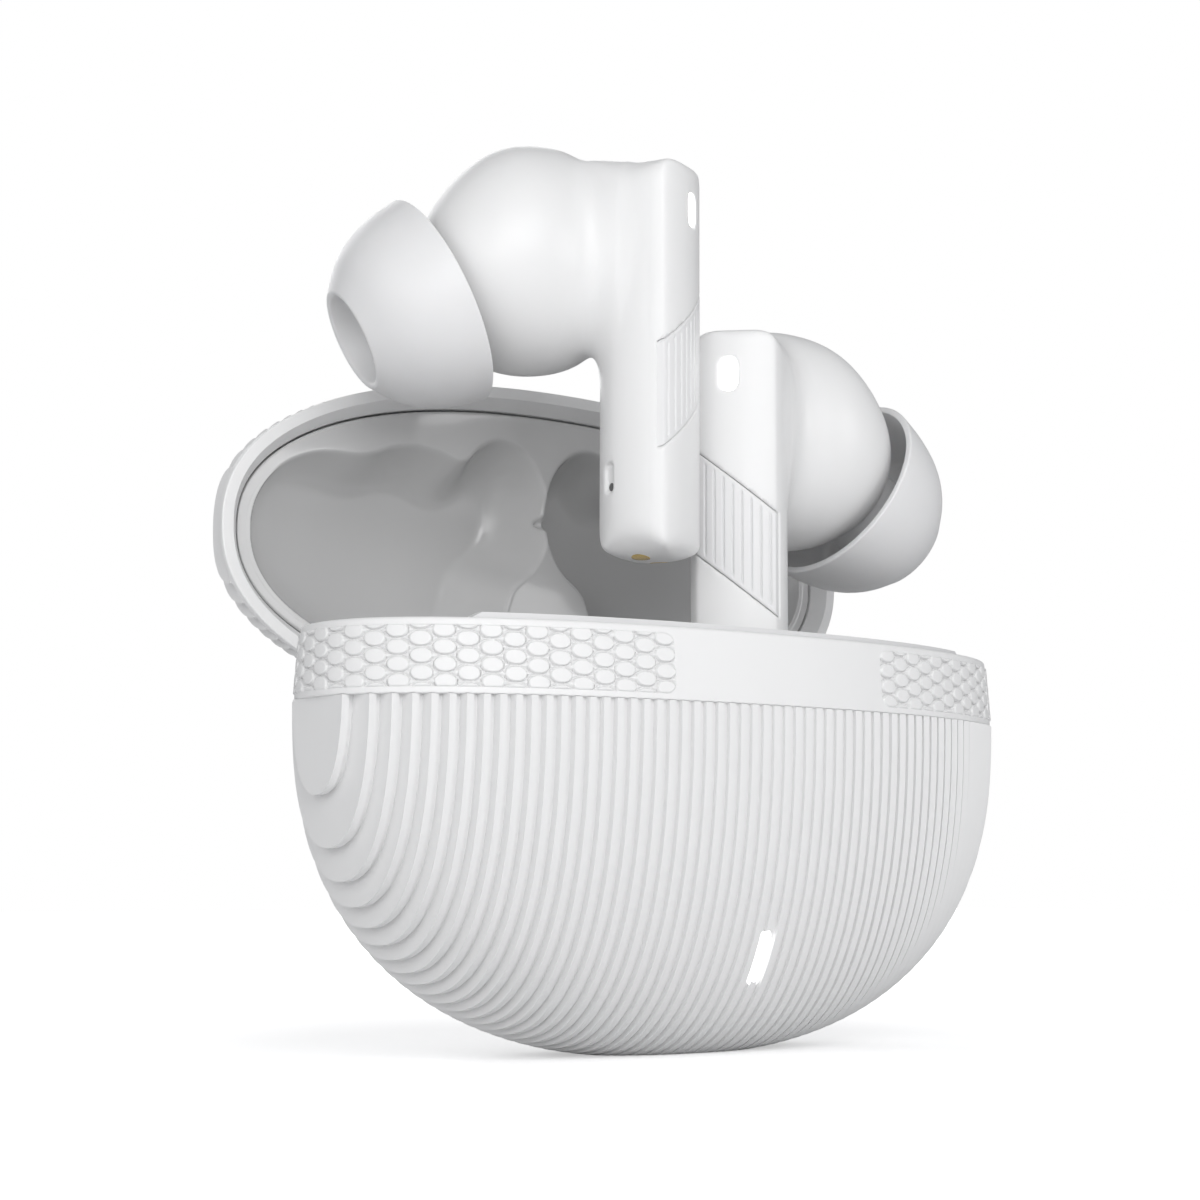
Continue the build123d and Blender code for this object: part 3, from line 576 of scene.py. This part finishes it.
def pad_height(along, z, x, y, whole):
    """How far the band's surface stands out at a point."""
    side = np.minimum(along, whole - along)
    reach, order = np.abs(x[y < 0]), np.argsort(np.abs(x[y < 0]))
    start = float(np.interp(SMOOTH_FRONT, reach[order], side[y < 0][order]))
    column = np.floor((side - start) / PAD_PITCH)
    du = side - start - (column + 0.5) * PAD_PITCH
    shift = ((column + 1) % 2) * PAD_RISE_PITCH / 2
    middle, half = (PATCH_TOP + PATCH_LOW) / 2, (PATCH_TOP - PATCH_LOW) / 2
    rise = middle - z + shift
    dv = rise - np.round(rise / PAD_RISE_PITCH) * PAD_RISE_PITCH
    q = (np.abs(du / PAD_HALF_WIDTH) ** PAD_POWER
         + np.abs(dv / PAD_HALF_HEIGHT) ** PAD_POWER) ** (1 / PAD_POWER)
    pad = np.clip((1 - q) / 0.10, 0, 1)
    dome = 0.8 + 0.2 * np.sqrt(np.clip(1 - q ** 2, 0, 1))
    moat = np.clip((q - 0.96) / 0.04, 0, 1) * np.clip((1.28 - q) / 0.2, 0, 1)
    out_u = np.maximum(PATCH_CORNER - (side - start), 0)
    out_v = np.maximum(np.abs(z - middle) - half + PATCH_CORNER, 0)
    edge = PATCH_CORNER - np.hypot(out_u, out_v)
    edge = np.where(side < start, -1, edge)
    edge = np.where((y > 0) & (np.abs(x) < BACK_NOTCH + 0.3), -1, edge)
    return (PAD_HEIGHT * pad * dome - MOAT_DEPTH * moat) * np.clip(edge / PATCH_EDGE, 0, 1)


def make_band():
    """The ring with its pads, rim and lower edge."""
    count, rows = 2400, 88
    heights = np.concatenate(([BAND_BASE, BAND_BASE + 0.01, BAND_BASE + 0.05, BAND_BASE + 0.1],
                              np.linspace(BAND_BASE + 0.16, RIM_HEIGHT - 0.2, rows),
                              [RIM_HEIGHT - 0.13, RIM_HEIGHT - 0.06, RIM_HEIGHT - 0.015,
                               RIM_HEIGHT]))
    edge_in = np.concatenate(([0.30, 0.06, 0.015, 0.0], np.zeros(rows), [0.02, 0.07, 0.14, 0.22]))
    grid = []
    for height, inset in zip(heights, edge_in):
        taper = BAND_TAPER * (height - BAND_BASE) / BAND_HEIGHT + inset
        x, y, along, whole = oval(HALF_WIDTH - taper, HALF_DEPTH - taper, count)
        ahead = np.stack((np.roll(x, -1) - np.roll(x, 1), np.roll(y, -1) - np.roll(y, 1)))
        normal = np.stack((ahead[1], -ahead[0])) / np.hypot(*ahead)
        out = pad_height(along, height, x, y, whole)
        grid.append(np.stack((x + normal[0] * out, y + normal[1] * out, np.full(count, height)), 1))
    inner = []
    for inset, height in [(0.6, RIM_HEIGHT), (0.9, RIM_HEIGHT), (0.99, RIM_HEIGHT - 0.05),
                          (1.0, RIM_HEIGHT - 0.2), (1.2, BAND_BASE + 0.8), (1.2, BAND_BASE),
                          (0.3, BAND_BASE)]:
        taper = BAND_TAPER + inset if height > RIM_HEIGHT - 1 else inset
        x, y, _, _ = oval(HALF_WIDTH - taper, HALF_DEPTH - taper, count)
        inner.append(np.stack((x, y, np.full(count, height)), 1))
    whole_ring = np.concatenate((np.array(grid), np.array(inner)))
    points, faces = join_grids((whole_ring, True))
    middle = points[faces].mean(1)
    keep = (middle[:, 1] < 0) | (np.abs(middle[:, 0]) > BACK_NOTCH)
    piece = add_piece("padded_band", points, faces[keep].tolist(), "case",
                      finishes["shell_white"])
    crisp(piece, 50)
    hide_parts("rim_band")
    return piece


band = make_band()
print("band:", len(band.data.polygons), "faces")

# %% [markdown]
# The lid
# -------
# The lid is a shallow dome with the same ribs. It is drawn closed, where its plan matches the
# band's, and then turned about the hinge to the angle at which it stands open. Its rim is a flat
# face that meets the band, with a sloping step inside that the tray's lip reaches into.

# %% The lid's shell
def open_up(points):
    """Turns points of the closed lid to where it stands open."""
    points = np.array(points, float)
    y, z = points[..., 1] - HINGE_Y, points[..., 2] - HINGE_Z
    cos, sin = math.cos(LID_OPEN), math.sin(LID_OPEN)
    points[..., 1] = HINGE_Y + y * cos + z * sin
    points[..., 2] = HINGE_Z - y * sin + z * cos
    return points


LINER_INSET, LINER_LOW = 1.92, 1.3
RIM_STEP, PLAIN_EDGE, RIB_RISE = 0.14, 0.55, 0.18
# Corners of the rim's section: (inset, depth, radius of the arc): outer edge, flat, slope, wall
LID_RIM = [(0.0, RIM_STEP, 0), (0.0, 0.0, 0.13), (0.92, 0.0, 0.06), (1.75, 1.21, 0.3),
           (1.78, 2.4, 0), (2.3, 2.6, 0)]


def make_lid():
    """Ribbed dome, flat rim and the step inside it."""
    plain = lambda drop: np.clip((drop - PLAIN_EDGE) / RIB_RISE, 0, 1)
    skin = ribbed_skin(RIM_HALF_WIDTH, RIM_HALF_DEPTH, LID, RIM_STEP / LID["drop"], 2.0,
                       np.linspace(0, 1, 96) ** 1.15, plain)
    skin[..., 2] = LID_BASE + skin[..., 2]
    rim = ring_wall(RIM_HALF_WIDTH, RIM_HALF_DEPTH,
                    [(inset, LID_BASE + depth) for inset, depth in round_corners(LID_RIM)], 1200)
    points, faces = join_grids((skin, False), (rim, True))
    piece = add_piece("ribbed_lid", open_up(points), faces.tolist(), "lid",
                      finishes["shell_white"])
    crisp(piece)
    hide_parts("lid_shell")
    return piece


lid = make_lid()
print("lid:", len(lid.data.polygons), "faces")

# %% [markdown]
# Inside the lid a glossy liner has one hollow for each bud's head. Its edge waves because it is
# drawn round the bud that docks below: an oval room for the stem, one for the ball and one for
# the ear tip run into each other, and the liner's border cuts them off. Each shape is a distance
# field: every point knows how far it is from the shape's edge, negative inside, and a soft
# minimum lets two shapes run into each other.

# %% Distance fields
def soft_min(a, b, blend):
    """The lower of two fields, rounded where they meet."""
    share = np.clip(0.5 + 0.5 * (b - a) / blend, 0, 1)
    return b * (1 - share) + a * share - blend * share * (1 - share)


def soft_max(a, b, blend):
    """The higher of two fields, rounded where they meet."""
    return -soft_min(-a, -b, blend)


def ball_field(p, centre, radii, power=2):
    """Field of a ball or an oval with a radius for each axis; a higher power is squarer."""
    radii = np.array(radii)
    q = np.abs(p - np.array(centre)) / radii
    far_off = (q ** power).sum(1) ** (1 / power)
    slope = np.sqrt(((q ** (power - 1) / radii) ** 2).sum(1))
    return far_off ** (power - 1) * (far_off - 1) / np.maximum(slope, 1e-6)


# %% Where a bud docks, and the room that it gets in the liner
STEM_X, STEM_Y, POCKET_TURN = 4.302, -3.444, 45.02
BALL = np.array((2.0, 9.3, -6.6))
TIP_CENTRE = np.array((7.3, 14.1, -10.3))
TIP_AXIS = np.array((0.628, 0.624, -0.465)) / math.sqrt(0.628 ** 2 + 0.624 ** 2 + 0.465 ** 2)
STEM_ROOM, BALL_ROOM, TIP_ROOM = (4.6, 6.0), (9.0, 9.0), (9.4, 8.2)
BALL_ROOM_FORWARD, ROOM_BLEND, LINER_BORDER, BORDER_BLEND = 0.8, 1.2, 0.65, 0.8
NOTCH_RADIUS, NOTCH_PLACE = 0.95, (-0.15, -3.0)
EDGE_ROUND, WALL_SLOPE, FLOOR_BLEND = 0.3, 2.6, 3.4
FLOOR_INSET, FLOOR_DEPTH, OUTER_ROLL = 0.9, 7.25, 0.12


def docked(spot):
    """Plan place, on the right, of a point of a bud that stands in its pocket."""
    cos, sin = math.cos(math.radians(POCKET_TURN)), math.sin(math.radians(POCKET_TURN))
    return np.array((spot[0] * cos + spot[1] * sin + STEM_X,
                     spot[1] * cos - spot[0] * sin + STEM_Y))


def hollow_field(spots, wide, deep):
    """Field of the right hollow in plan: three rooms in one, cut off by the liner's border."""
    stem = ball_field(spots, docked((0, 0)), STEM_ROOM)
    ball = ball_field(spots, docked(BALL) - (0, BALL_ROOM_FORWARD), BALL_ROOM)
    tip = ball_field(spots, docked(TIP_CENTRE), TIP_ROOM)
    rooms = soft_min(stem, soft_min(ball, tip, ROOM_BLEND), ROOM_BLEND)
    border = ball_field(spots, (0, 0), (wide - LINER_BORDER, deep - LINER_BORDER), PLAN_POWER)
    return soft_max(rooms, border, BORDER_BLEND)


def hollow_outline(wide, deep, count=400):
    """The hollow's edge, found by halving along rays from a spot between stem and ball."""
    middle = (docked((0, 0)) + docked(BALL)) / 2
    turn = np.linspace(0, 2 * math.pi, count, endpoint=False)
    rays = np.stack((np.cos(turn), np.sin(turn)), 1)
    near, far = np.zeros(count), np.full(count, wide)
    for _ in range(24):
        half = (near + far) / 2
        inside = hollow_field(middle + rays * half[:, None], wide, deep) < 0
        near, far = np.where(inside, half, near), np.where(inside, far, half)
    return middle + rays * near[:, None]


def outline_distance(points, line):
    """Distance of points from a closed outline, positive inside."""
    best = np.full(len(points), 1e9)
    inside = np.zeros(len(points), bool)
    for a, b in zip(line, np.roll(line, -1, 0)):
        ab, ap = b - a, points - a
        share = np.clip((ap @ ab) / (ab @ ab), 0, 1)
        best = np.minimum(best, np.hypot(*(ap - share[:, None] * ab).T))
        crosses = (a[1] > points[:, 1]) != (b[1] > points[:, 1])
        if a[1] != b[1]:
            inside ^= crosses & (points[:, 0] < a[0] + (points[:, 1] - a[1]) * ab[0] / ab[1])
    return np.where(inside, best, -best)


def hollow_depth(flat, wide, deep):
    """How far inside a hollow plan points lie, negative outside."""
    right = np.stack((np.abs(flat[:, 0]), flat[:, 1]), 1)
    notch = NOTCH_RADIUS - np.hypot(*(flat - NOTCH_PLACE).T)
    return np.maximum(outline_distance(right, hollow_outline(wide, deep)), notch)


# %% The liner
def make_liner():
    """The glossy liner as a height map in the lid."""
    wide, deep = RIM_HALF_WIDTH - LINER_INSET, RIM_HALF_DEPTH - LINER_INSET
    columns = np.linspace(-1, 1, 421)
    x = wide * np.sin(columns * math.pi / 2 * 0.995) / math.sin(math.pi / 2 * 0.995)
    x = 0.5 * x + 0.5 * wide * columns
    reach = deep * (1 - np.abs(x / wide) ** PLAN_POWER) ** (1 / PLAN_POWER)
    share = np.linspace(-1, 1, 181)
    grid = np.stack(np.broadcast_arrays(x[:, None], reach[:, None] * share[None, :]), -1)
    flat = grid.reshape(-1, 2)
    away = hollow_depth(flat, wide, deep)
    size = ((np.abs(flat[:, 0]) / (wide - FLOOR_INSET)) ** PLAN_POWER
            + (np.abs(flat[:, 1]) / (deep - FLOOR_INSET)) ** PLAN_POWER) ** (1 / PLAN_POWER)
    floor = FLOOR_DEPTH * np.clip(1 - size ** LID["side"], 0, 1) ** (1 / LID["base"])
    floor = np.maximum(floor - LINER_LOW, 0.02)
    inner = np.maximum(away, 0)
    wall = np.where(inner < EDGE_ROUND, inner ** 2 * WALL_SLOPE / (2 * EDGE_ROUND),
                    WALL_SLOPE * (inner - EDGE_ROUND / 2))
    blend = np.minimum(FLOOR_BLEND, floor * 0.8)
    depth = np.where(away > 0, np.maximum(soft_min(wall, floor, blend), 0), 0)
    edge = np.minimum(1 - np.abs(share), 1)[None, :] * reach[:, None]
    roll = OUTER_ROLL * np.clip(1 - edge / OUTER_ROLL, 0, 1) ** 2
    z = LID_BASE + LINER_LOW + depth.reshape(grid.shape[:2]) + roll
    points = np.concatenate((grid, z[..., None]), -1)
    points, faces = join_grids((points, False))
    rim = ring_wall(wide + 0.01, deep + 0.01,
                    [(0.0, LID_BASE + LINER_LOW + 0.10), (0.0, LID_BASE + 2.4)], 600)
    more, more_faces = join_grids((rim, True))
    faces = np.concatenate((faces, more_faces + len(points)))
    points = np.concatenate((points, more))
    piece = add_piece("lid_lining", open_up(points), faces.tolist(), "lid",
                      finishes["pearl_grey"])
    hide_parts("lid_liner")
    return piece


liner = make_liner()
print("liner:", len(liner.data.polygons), "faces")

# %% [markdown]
# The earbuds
# -----------
# A bud's shell flows from the stem through a shoulder into the ball that sits in the ear. Such
# a form has no straight parts to build from, so it is written as a distance field: every point
# of space knows how far it is from a stem, a ball and a neck, and a soft minimum lets the three
# run into each other. The surface is where the field is zero, walked cell by cell.

# %% Surfaces from distance fields
def surface_net(field, low, high, step):
    """Points and faces where a field is zero, one point in each crossed cell."""
    axes = [np.arange(a, b + step, step) for a, b in zip(low, high)]
    place = np.stack(np.meshgrid(*axes, indexing="ij"), -1)
    value = field(place.reshape(-1, 3)).reshape(place.shape[:3])
    total = np.zeros([n - 1 for n in value.shape] + [3])
    crossings = np.zeros([n - 1 for n in value.shape])
    for axis in range(3):
        a = np.moveaxis(value, axis, 0)[:-1]
        b = np.moveaxis(value, axis, 0)[1:]
        cross = (a < 0) != (b < 0)
        share = np.where(cross, a / np.where(cross, a - b, 1), 0)
        spot = np.moveaxis(place, axis, 0)[:-1] + share[..., None] * step * np.eye(3)[axis]
        weight = np.moveaxis(cross.astype(float), 0, axis)
        spot = np.moveaxis(spot * cross[..., None], 0, axis)
        others = [o for o in range(3) if o != axis]
        for i in range(2):
            for j in range(2):
                cut = [slice(None)] * 3
                cut[others[0]] = slice(i, value.shape[others[0]] - 1 + i)
                cut[others[1]] = slice(j, value.shape[others[1]] - 1 + j)
                total += spot[tuple(cut)]
                crossings += weight[tuple(cut)]
    used = crossings > 0
    index = np.full(used.shape, -1)
    index[used] = np.arange(used.sum())
    points = total[used] / crossings[used][:, None]
    faces = []
    for axis in range(3):
        a = np.moveaxis(value, axis, 0)[:-1, 1:-1, 1:-1]
        b = np.moveaxis(value, axis, 0)[1:, 1:-1, 1:-1]
        net = np.moveaxis(index, axis, 0)
        for sign in (1, -1):
            hit = np.argwhere(((a < 0) != (b < 0)) & ((a < 0) == (sign > 0)))
            i, j, k = hit[:, 0], hit[:, 1], hit[:, 2]
            loop = [net[i, j, k], net[i, j + 1, k], net[i, j + 1, k + 1], net[i, j, k + 1]]
            faces.append(np.stack(loop if (sign > 0) == (axis != 1) else loop[::-1], 1))
    return points, np.concatenate(faces)


def gradient(field, points, step=0.02):
    """How a field rises at points."""
    rise = [field(points + step * e) - field(points - step * e) for e in np.eye(3)]
    return np.stack(rise, 1) / (2 * step)


def settle(field, points, rounds=3):
    """Moves points onto the field's zero surface."""
    for _ in range(rounds):
        slope = gradient(field, points)
        size = np.maximum((slope ** 2).sum(1), 0.05)
        points = points - slope * np.clip(field(points) / size, -0.2, 0.2)[:, None]
    return points


# %% [markdown]
# The stem is round behind and has a face in front that is bounded by two fine ridges. Its field
# is the higher of a few simple ones: the round back, the crowned face, and a slab with rounded
# corners that gives the arch on top and the rounded foot.

# %% The bud's sizes and its fields
STEM_LENGTH, STEM_RADIUS = 30.0, 3.74
RIDGE_X, RIDGE_Y, CROWN = 2.97, 2.64, 0.62
PANEL_IN, PANEL_OUT, PANEL_HEIGHT = -9.4, -14.05, 7.9
BALL_RADII = np.array((8.65, 6.8, 8.65))
EGG_SHIFT, EGG_RADII = 2.1, np.array((8.0, 6.2, 7.5))
SEAM_Y = -1.7
MIC_TURN, MIC_FLOOR, MIC_HEIGHT = math.radians(27.3), 3.45, 5.95 - STEM_LENGTH
MIC_SLOT, MIC_RADIUS = (2.3, 0.95), 0.31
LIGHT_SLOT, LIGHT_SPOT, PANEL_SINK = (2.68, 1.38), (-0.5, -3.6), -2.15
CONTACT_SPACING, CONTACT_RADIUS = 1.5, 0.7
NECK_HEIGHT, NECK_FLAT = -6.4, 0.62     # the neck's cross section is taller than wide


def rounded_slab(across, z, half, radius_top, radius_foot):
    """Field of a stem-shaped outline with rounded top and foot corners."""
    middle = -STEM_LENGTH / 2
    radius = np.where(z > middle, radius_top, radius_foot)
    qx = np.abs(across) - (half - radius)
    qz = np.abs(z - middle) - (STEM_LENGTH / 2 - radius)
    outside = np.hypot(np.maximum(qx, 0), np.maximum(qz, 0))
    return outside + np.minimum(np.maximum(qx, qz), 0) - radius


def stem_field(p):
    """Field of the stem, with crisp ridges along its face."""
    x, y, z = p[:, 0], p[:, 1], p[:, 2]
    back = np.hypot(x, np.maximum(y, 0)) - STEM_RADIUS
    flank_in = (STEM_RADIUS - RIDGE_X) * np.clip(-y / RIDGE_Y, 0, 1.4) ** 2
    side = (np.abs(x) - STEM_RADIUS + flank_in) * 0.93
    big = (RIDGE_X ** 2 + CROWN ** 2) / (2 * CROWN)
    face = np.hypot(x, y - (big - RIDGE_Y - CROWN)) - big
    front = rounded_slab(x, z, STEM_RADIUS + 0.05, 2.6, 3.2)
    depth = rounded_slab(y, z, STEM_RADIUS + 0.05, 1.6, 3.2)
    column = np.where(y > 0, back, side)
    column = soft_max(column, np.where(y < 0.5, face, -1.0), 0.10)
    return soft_max(soft_max(column, front, 0.4), depth, 0.5)


def capsule_field(p, a, b, radius_a, radius_b):
    """Field of a rod with round ends and a radius that changes along it."""
    a, b = np.array(a), np.array(b)
    along = np.clip(((p - a) @ (b - a)) / ((b - a) @ (b - a)), 0, 1)
    return np.linalg.norm(p - a - along[:, None] * (b - a), axis=1) - (
        radius_a + (radius_b - radius_a) * along)


def bud_field(p):
    """Field of a whole bud without its ear tip."""
    neck_z = NECK_HEIGHT * NECK_FLAT
    neck = capsule_field(p * np.array((1, 1, NECK_FLAT)), (0.1, 0.9, neck_z),
                         (0.9, 6.5, neck_z), 2.7, 4.0)
    ball = soft_min(ball_field(p, BALL, BALL_RADII),
                    ball_field(p, BALL + TIP_AXIS * EGG_SHIFT, EGG_RADII), 1.0)
    body = soft_min(ball, neck, 2.5)
    nozzle = capsule_field(p, BALL + TIP_AXIS * 5.0, TIP_CENTRE + TIP_AXIS * 1.4, 2.8, 2.4)
    body = soft_min(body, nozzle, 0.5)
    whole = soft_min(stem_field(p), body, 3.0 * np.clip((p[:, 1] + 2.4) / 3.2, 0.02, 1))
    across = p[:, 0] * -math.sin(MIC_TURN) + p[:, 1] * math.cos(MIC_TURN)
    outwards = p[:, 0] * math.cos(MIC_TURN) + p[:, 1] * math.sin(MIC_TURN)
    slot = pill_distance(p[:, 2] - MIC_HEIGHT, across, *MIC_SLOT)
    slot = np.maximum(slot, MIC_FLOOR - outwards)
    return soft_max(whole, -slot, 0.12)


def panel_line(x):
    """Height of the grip panel's upper edge."""
    return (PANEL_IN + PANEL_OUT) / 2 + (PANEL_IN - PANEL_OUT) / (2 * RIDGE_X) * -x


def cover_field(p):
    """Field of the bud with the panel's recess and the light's slot in its face."""
    whole = bud_field(p)
    x, y, z = p[:, 0], p[:, 1], p[:, 2]
    steep = math.hypot(1, (PANEL_IN - PANEL_OUT) / (2 * RIDGE_X))
    top = (z - panel_line(x)) / steep
    low = (panel_line(x) - PANEL_HEIGHT - z) / steep
    recess = np.maximum(np.maximum(top, low), y - PANEL_SINK)
    light = pill_distance(z - LIGHT_SPOT[1], x - LIGHT_SPOT[0], *LIGHT_SLOT)
    light = np.maximum(light, y + 2.6)
    return np.maximum(np.maximum(whole, -recess), -light)


# %% [markdown]
# The shell and the face cover are one smooth surface on the real bud, split along a fine line
# behind the ridges. Here the surface is cut in two along the same plane, so each of the two
# pieces keeps its own node and finish. The left bud is the right bud's mirror image.

# %% The bud's meshes
BUD_STANCE = {"right": (-POCKET_TURN, 24.1), "left": (24.95, 35.8)}


def bud_place(side):
    """Where a bud's own frame stands at rest, as a function on points."""
    sign = 1 if side == "right" else -1
    turn, lift = math.radians(BUD_STANCE[side][0]), BUD_STANCE[side][1]
    cos, sin = math.cos(turn), math.sin(turn)

    def place(points):
        x, y, z = points[..., 0] * sign, points[..., 1], points[..., 2]
        return np.stack((x * cos - y * sin + STEM_X * sign, x * sin + y * cos + STEM_Y,
                         z + RIM_HEIGHT + lift), -1)
    return place


def split_faces(points, faces, cut):
    """Cuts a mesh at a plane of constant Y: (points, faces) behind it and in front of it."""
    mesh = bpy.data.meshes.new("to_cut")
    mesh.from_pydata(points.tolist(), [], faces.tolist())
    halves = []
    for keep_front in (False, True):
        body = bmesh.new()
        body.from_mesh(mesh)
        bmesh.ops.bisect_plane(body, geom=body.verts[:] + body.edges[:] + body.faces[:],
                               plane_co=(0, cut, 0), plane_no=(0, 1, 0), dist=1e-5,
                               clear_inner=not keep_front, clear_outer=keep_front)
        body.verts.index_update()
        spots = np.array([v.co[:] for v in body.verts])
        loops = [[v.index for v in f.verts] for f in body.faces]
        halves.append((spots, loops))
        body.free()
    return halves


def bud_meshes():
    """Points and faces of the bud's shell and of its face cover."""
    points, faces = surface_net(cover_field, (-7.5, -3.6, -30.4), (12.5, 17.0, 2.8), 0.2)
    points = settle(cover_field, points)
    return split_faces(points, faces, SEAM_Y)


(shell_points, shell_faces), (cover_points, cover_faces) = bud_meshes()
print("bud shell:", len(shell_faces), "faces, cover:", len(cover_faces))


# %% [markdown]
# The grip panel is a slanted inlay with fine upright grooves. It is a strip of points across
# the face from ridge to ridge and a little past them, on the same crown as the cover. The ear
# tip is a soft skirt turned round the nozzle's axis: its profile goes up the outside, over the
# rounded mouth, down the funnel, along the sleeve and back under the skirt.

# %% The grip panel and the ear tip
PANEL_REACH, PANEL_GAP_TOP, PANEL_GAP_FOOT = 3.16, 0.07, 0.06
GROOVES, GROOVE_PITCH, FIRST_GROOVE, GROOVE_DEPTH, GROOVE_HALF = 8, 0.701, 0.376, 0.16, 0.11


def panel_grid():
    """Grid of points over the grip panel, with its grooves and edges."""
    x = np.linspace(-PANEL_REACH, PANEL_REACH, 181)
    big = (RIDGE_X ** 2 + CROWN ** 2) / (2 * CROWN)
    crown = (big - RIDGE_Y - CROWN) - np.sqrt(big ** 2 - np.minimum(np.abs(x), RIDGE_X) ** 2)
    beyond = np.maximum(np.abs(x) - RIDGE_X, 0)
    crown = crown + beyond * 3.2
    phase = (RIDGE_X - x - FIRST_GROOVE) / GROOVE_PITCH
    near = np.abs(phase - np.round(phase)) * GROOVE_PITCH
    inside = (np.round(phase) >= 0) & (np.round(phase) < GROOVES)
    groove = GROOVE_DEPTH * np.clip(1 - near / GROOVE_HALF, 0, 1) * inside
    rows = []
    for share in np.linspace(0, 1, 61):
        top = panel_line(x) - PANEL_GAP_TOP
        foot = panel_line(x) - PANEL_HEIGHT + PANEL_GAP_FOOT
        z = top + (foot - top) * share
        from_end = np.minimum(top - z, z - foot)
        fade = np.clip((from_end - 0.35) / 0.25, 0, 1)
        round_off = 0.05 * np.clip(1 - from_end / 0.1, 0, 1)
        rows.append(np.stack((x, crown + groove * fade + round_off, z), 1))
    front = np.array(rows)
    back_top, back_foot = front[:1].copy(), front[-1:].copy()
    back_top[..., 1] = back_foot[..., 1] = -2.2
    return np.concatenate((back_top, front, back_foot))


# Corners of the tip's skin: (radius, height, radius of the arc that rounds the corner)
TIP_SKIN = [(8.09, -0.08, 0.12), (7.75, 1.9, 12.0), (6.72, 5.0, 7.5), (3.6, 7.6, 0.35),
            (2.6, 4.5, 1.5), (2.6, 0.9, 0.05), (3.5, 0.9, 0.05), (3.5, 4.6, 0.6),
            (5.75, 4.75, 1.0), (7.55, -0.08, 0.12)]
TIP_FIT = {"right": (0.95, 1.16), "left": (0.0, 1.0)}


def turned_piece(line, around):
    """Points of a ring-shaped piece: a closed line of (radius, height) turned round an axis."""
    side = np.cross(TIP_AXIS, (0, 0, 1.0))
    side /= np.linalg.norm(side)
    other = np.cross(TIP_AXIS, side)
    turn = np.linspace(0, 2 * math.pi, around, endpoint=False)
    rim = np.cos(turn)[:, None] * side + np.sin(turn)[:, None] * other
    rows = [TIP_CENTRE + TIP_AXIS * height + rim * radius for radius, height in line]
    rows.append(rows[0])
    return np.array(rows)


def disc_grid(centre, along, across, radii, heights, around=28):
    """Rings of points of a small round piece; the heights are along the piece's own axis."""
    axis = np.cross(along, across)
    turn = np.linspace(0, 2 * math.pi, around, endpoint=False)
    rim = np.cos(turn)[:, None] * along + np.sin(turn)[:, None] * across
    rings = [centre + rim * radius + axis * height for radius, height in zip(radii, heights)]
    return np.array(rings)


def gold_pads():
    """Points and faces of the two charging contacts, flush in the rounded foot."""
    grids = []
    for sign in (-1, 1):
        spot = np.array((sign * CONTACT_SPACING, 0.0, -STEM_LENGTH + 0.2))
        radii = np.linspace(0.02, CONTACT_RADIUS, 7)
        rings = disc_grid(spot, np.array((0, 1.0, 0)), np.array((1.0, 0, 0)), radii, np.zeros(7))
        flat = settle(bud_field, rings.reshape(-1, 3), 6)
        slope = gradient(bud_field, flat)
        slope /= np.linalg.norm(slope, axis=1)[:, None]
        rings = (flat + slope * 0.025).reshape(rings.shape)
        sunk = (flat - slope * 0.15).reshape(rings.shape)[-1:]
        grids.append((np.concatenate((rings, sunk)), True))
    return join_grids(*grids)


def mic_port():
    """Grid of the microphone's opening at the lower end of its slot, dark from its gauze finish:
    dark grey wires and holes painted black as shade.
    """
    outwards = np.array((math.cos(MIC_TURN), math.sin(MIC_TURN), 0))
    across = np.array((-math.sin(MIC_TURN), math.cos(MIC_TURN), 0))
    spot = outwards * (MIC_FLOOR + 0.03) + np.array((0, 0, MIC_HEIGHT - 0.62))
    radii, heights = (MIC_RADIUS, 0.3, 0.2, 0.01), (-0.2, 0, 0.01, 0)
    return disc_grid(spot, across, np.array((0, 0, 1.0)), radii, heights)


def make_bud(side):
    """All pieces of a bud that show, each in place and riding on its body."""
    place, body = bud_place(side), side + "_bud"

    def turned(faces):
        return [list(f) if side == "right" else list(f)[::-1] for f in faces]

    shell = add_piece(side + "_smooth_shell", place(shell_points), turned(shell_faces), body,
                      finishes["bud_white"])
    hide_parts(side + "_bud_shell")
    cover = add_piece(side + "_stem_face", place(cover_points), turned(cover_faces), body,
                      finishes["bud_white"])
    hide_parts(side + "_face_cover")
    grid = panel_grid()
    panel = add_piece(side + "_grip_inlay", place(grid.reshape(-1, 3)),
                      turned(grid_faces(*grid.shape[:2])), body,
                      finishes["grip_satin"])
    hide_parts(side + "_grip_panel")
    points, faces = gold_pads()
    pads = add_piece(side + "_gold_pads", place(points), turned(faces), body,
                     finishes["gold_contact"])
    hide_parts(side + "_charge_contacts")
    rings = mic_port()
    # the port's gauze finish carries painted shade in its holes
    port = add_piece(side + "_mic_port", place(rings.reshape(-1, 3)),
                     turned(grid_faces(*rings.shape[:2], True)), body,
                     finishes["dark_mesh"])
    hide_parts(side + "_mic_mesh")
    pushed, stretched = TIP_FIT[side]
    skin = [(radius, height * stretched - pushed) for radius, height in round_corners(TIP_SKIN)]
    rings = turned_piece(skin, 160)
    tip = add_piece(side + "_silicone_tip", place(rings.reshape(-1, 3)),
                    turned(grid_faces(*rings.shape[:2], True)), body,
                    finishes["tip_silicone"])
    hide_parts(side + "_ear_tip")


for side in ("right", "left"):
    make_bud(side)
    print(side, "bud in place")

# %% The end
print("scene built")
